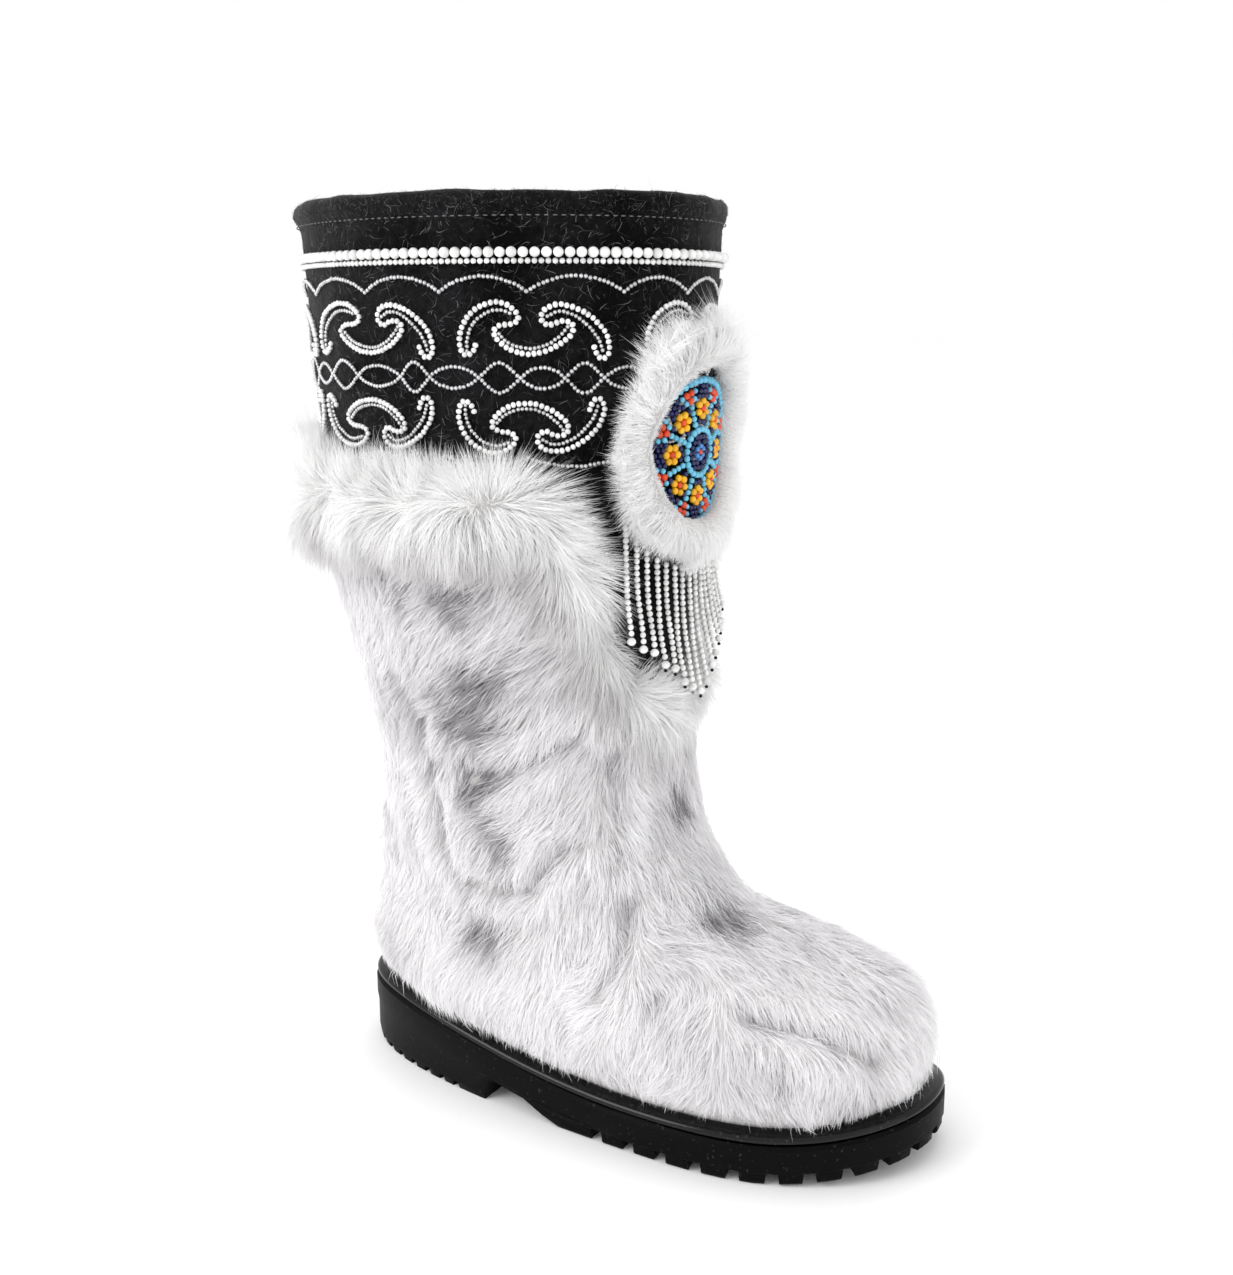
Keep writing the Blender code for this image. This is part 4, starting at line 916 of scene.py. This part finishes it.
furRoll("cuff", cuffRows, cuffLook, cuffWays, 41, ["cuff"])
print("cuff ready")

medallion = {"s": -0.6, "z": 282.6, "tall": 0.985, "ringHeight": 286.2, "ringWide": 35.1, "ringTall": 37.2,
             "ringOut": 5.4, "ringRadius": 5.8, "topShare": 0.2, "rosette": 29.5, "seat": 1.9, "dome": 0.4}
ringLook = dict(cuffLook, step=2.5, hairs=24000, length=12.0, innerTrim=0.68, width=0.22 * mm, lift=20.0, droop=0.06, swing=12.0,
                clump=0.22, clumpTone=0.02, rootShade=0.0, tall=1.0, baseTone=1.0, lowSideShade=0.0)
ringRows = [(medallion["s"] + math.sin(t) * medallion["ringWide"],
             medallion["ringHeight"] + math.cos(t) * medallion["ringTall"], medallion["ringOut"],
             medallion["ringRadius"], 1.0 + medallion["topShare"] * max(0.0, math.cos(t))) for t in np.linspace(0.0, 2 * math.pi, 41)]


def ringWays(spots, normals, wallNormals, sideways, lean):
    centre, front = wallPoint(medallion["s"] * mm, medallion["z"] * mm, 4.0 * mm)
    outwards = toPlane(spots - np.array(centre), wallNormals)
    swirl = (0.7 * smoothNoise(spots, 70.0, 53))[:, None] * np.cross(wallNormals, outwards)
    return toPlane(outwards + swirl + wallNormals * 0.3, normals) + normals * 0.2


furRoll("medallion", ringRows, ringLook, ringWays, 51, ["medallion"])


def makeRosette():
    rng = random.Random(61)
    radius = medallion["rosette"]

    def onWall(r, turn, out):
        s = (medallion["s"] + r * math.sin(turn)) * mm
        z = (medallion["z"] + medallion["tall"] * r * math.cos(turn)) * mm
        rise = medallion["dome"] * (1.0 - (r / radius) ** 2)
        return wallPoint(s, z, (medallion["seat"] + rise + out) * mm)

    bm = bmesh.new()
    bmesh.ops.create_circle(bm, cap_ends=True, segments=48, radius=radius + 0.8)
    for count in range(6):
        top = [face for face in bm.faces if len(face.verts) > 4]
        bmesh.ops.inset_region(bm, faces=top, thickness=4.4, use_even_offset=True)
    for vert in bm.verts:
        vert.co = onWall(vert.co.xy.length, math.atan2(vert.co.x, vert.co.y), 0.0)[0]
    bmesh.ops.recalc_face_normals(bm, faces=bm.faces)
    if sum((face.normal.x for face in bm.faces)) < 0:
        bmesh.ops.reverse_faces(bm, faces=bm.faces)
    mesh = bpy.data.meshes.new("rosetteBacking")
    bm.to_mesh(mesh)
    bm.free()
    backing = addPiece("rosetteBacking", mesh, [navyFelt], ["rosette"])
    wall = backing.modifiers.new("wall", "SOLIDIFY")
    wall.thickness = 1.3 * mm
    wall.offset = -1.0

    placed, beads = [], []

    def bead(r, turn, size, kind, length=None):
        x, y = r * math.sin(turn), r * math.cos(turn)
        placed.append((x, y, size))
        spot, normal = onWall(r, turn, 0.9)
        step, other = onWall(r, turn + 0.02, 0.9)
        way = (step - spot) if r > 0.5 else Vector((0, 1, 0))
        size *= rng.uniform(0.95, 1.04)
        beads.append((spot, way, normal, (length or size) * mm, size * mm, kind))

    def beadAt(x, y, size, kind):
        bead(math.hypot(x, y), math.atan2(x, y), size, kind)

    for number in range(58):
        bead(radius - 0.5, math.tau * number / 58, 3.3, 1, 3.0)
    bead(0.0, 0.0, 2.3, 4)
    for number in range(6):
        bead(2.5, math.tau * number / 6, 2.3, 5)
    for number in range(21):
        bead(9.3, math.tau * number / 21, 2.9, 1)
    for number in range(8):
        turn = math.tau * number / 8
        fx, fy = 17.6 * math.sin(turn), 17.6 * math.cos(turn)
        beadAt(fx, fy, 2.8, 4)
        for petal in range(6):
            around = turn + math.tau * petal / 6
            beadAt(fx + 3.0 * math.sin(around), fy + 3.0 * math.cos(around), 3.1, 3)
        spoke = math.tau * (number + 0.5) / 8
        for step in range(4):
            bead(12.2 + 2.5 * step, spoke, 2.5, 1)
        for away, spread in ((22.6, (0.0,)), (25.4, (-1.5, 1.5))):
            for offset in spread:
                bead(away, spoke + offset / away, 3.0, 4)
            edge = spread[-1] + 2.7
            bead(away, spoke + edge / away, 2.4, 1)
            bead(away, spoke - edge / away, 2.4, 1)
    for row in range(-13, 14):
        for column in range(-13, 14):
            x, y = (column + 0.5 * (row % 2)) * 2.35, row * 2.05
            if math.hypot(x, y) > radius - 2.6:
                continue
            if all(math.hypot(x - px, y - py) > 0.40 * (2.35 + size) for px, py, size in placed):
                beadAt(x, y, 2.35, 2)
    layBeads("rosetteBeads", beads, [whiteGlass, turquoiseGlass, navyGlass, yellowGlass, orangeGlass, skyGlass],
             (), 7, 5)


makeRosette()
print("medallion ready")

fringe = {"strands": 15, "half": 39.5, "top": 285.5, "end": 181.0, "rise": 30.0, "bead": 2.5, "lastBead": 3.7, "drape": 6.0}


def makeFringe():
    rng = random.Random(71)
    beads = []
    for number in range(fringe["strands"]):
        spread = 2 * (number + 0.5) / fringe["strands"] - 1
        s = medallion["s"] + spread * fringe["half"]
        drop = 50.0 * math.sqrt(max(0.0, 1.0 - (spread * fringe["half"] / 46.6) ** 2))
        top = fringe["top"] - drop
        low = fringe["end"] + fringe["rise"] * abs(spread) + rng.uniform(-1.5, 1.5)
        place, normal = wallPoint(s * mm, top * mm, 3.4 * mm)
        along = normal.cross(Vector((0, 0, 1)))
        count = round((top - low - fringe["lastBead"]) / (fringe["bead"] * 0.96))
        phase, sway = rng.uniform(0, 6), rng.uniform(0.3, 0.9)
        for step in range(count):
            share = step / count
            z = top - step * fringe["bead"] * 0.96
            spot = Vector((place.x, place.y, z * mm)) + normal * fringe["drape"] * mm * share ** 2
            spot += along * sway * mm * math.sin(phase + share * 7) * share
            beads.append((spot, Vector((0, 0, 1)), normal, fringe["bead"] * mm,
                          fringe["bead"] * rng.uniform(0.9, 1.05) * mm, 0))
        z -= fringe["bead"] * 0.5 + fringe["lastBead"] * 0.5
        spot = Vector((place.x, place.y, z * mm)) + normal * fringe["drape"] * mm
        beads.append((spot, Vector((0, 0, 1)), normal, fringe["lastBead"] * 0.9 * mm, fringe["lastBead"] * mm, 0))
        spot = spot - Vector((0, 0, (fringe["lastBead"] * 0.45 + 0.75) * mm))
        beads.append((spot, Vector((0, 0, 1)), normal, 1.5 * mm, 1.6 * mm, 1))
    layBeads("fringeBeads", beads, [whiteGlass, darkSteel], ["fringe"], 7, 5)


makeFringe()
print("fringe ready")


# Sole, rim and insole
def makeSole():
    bm = weldedCopy("outsole")
    bmesh.ops.dissolve_limit(bm, angle_limit=math.radians(1.5), verts=bm.verts, edges=bm.edges)
    mesh = bpy.data.meshes.new("luggedSole")
    bm.to_mesh(mesh)
    bm.free()
    sole = addPiece("luggedSole", mesh, [soleRubber], ["outsole"])
    broadGreyAndHollowShade = sole.modifiers.new("soft edges", "BEVEL")
    broadGreyAndHollowShade.width = 0.45 * mm
    broadGreyAndHollowShade.segments = 2
    broadGreyAndHollowShade.limit_method = "ANGLE"
    broadGreyAndHollowShade.angle_limit = math.radians(35)
    mesh.shade_smooth()
    mesh.set_sharp_from_angle(angle=math.radians(35))
    rim = smoothCopy("welt", 2)
    addPiece("glossyRim", rim, [rimRubber], ["welt"])
    bed = smoothCopy("insole", 1)
    addPiece("innerSole", bed, [fleece], ["insole"])


makeSole()
print("sole ready")
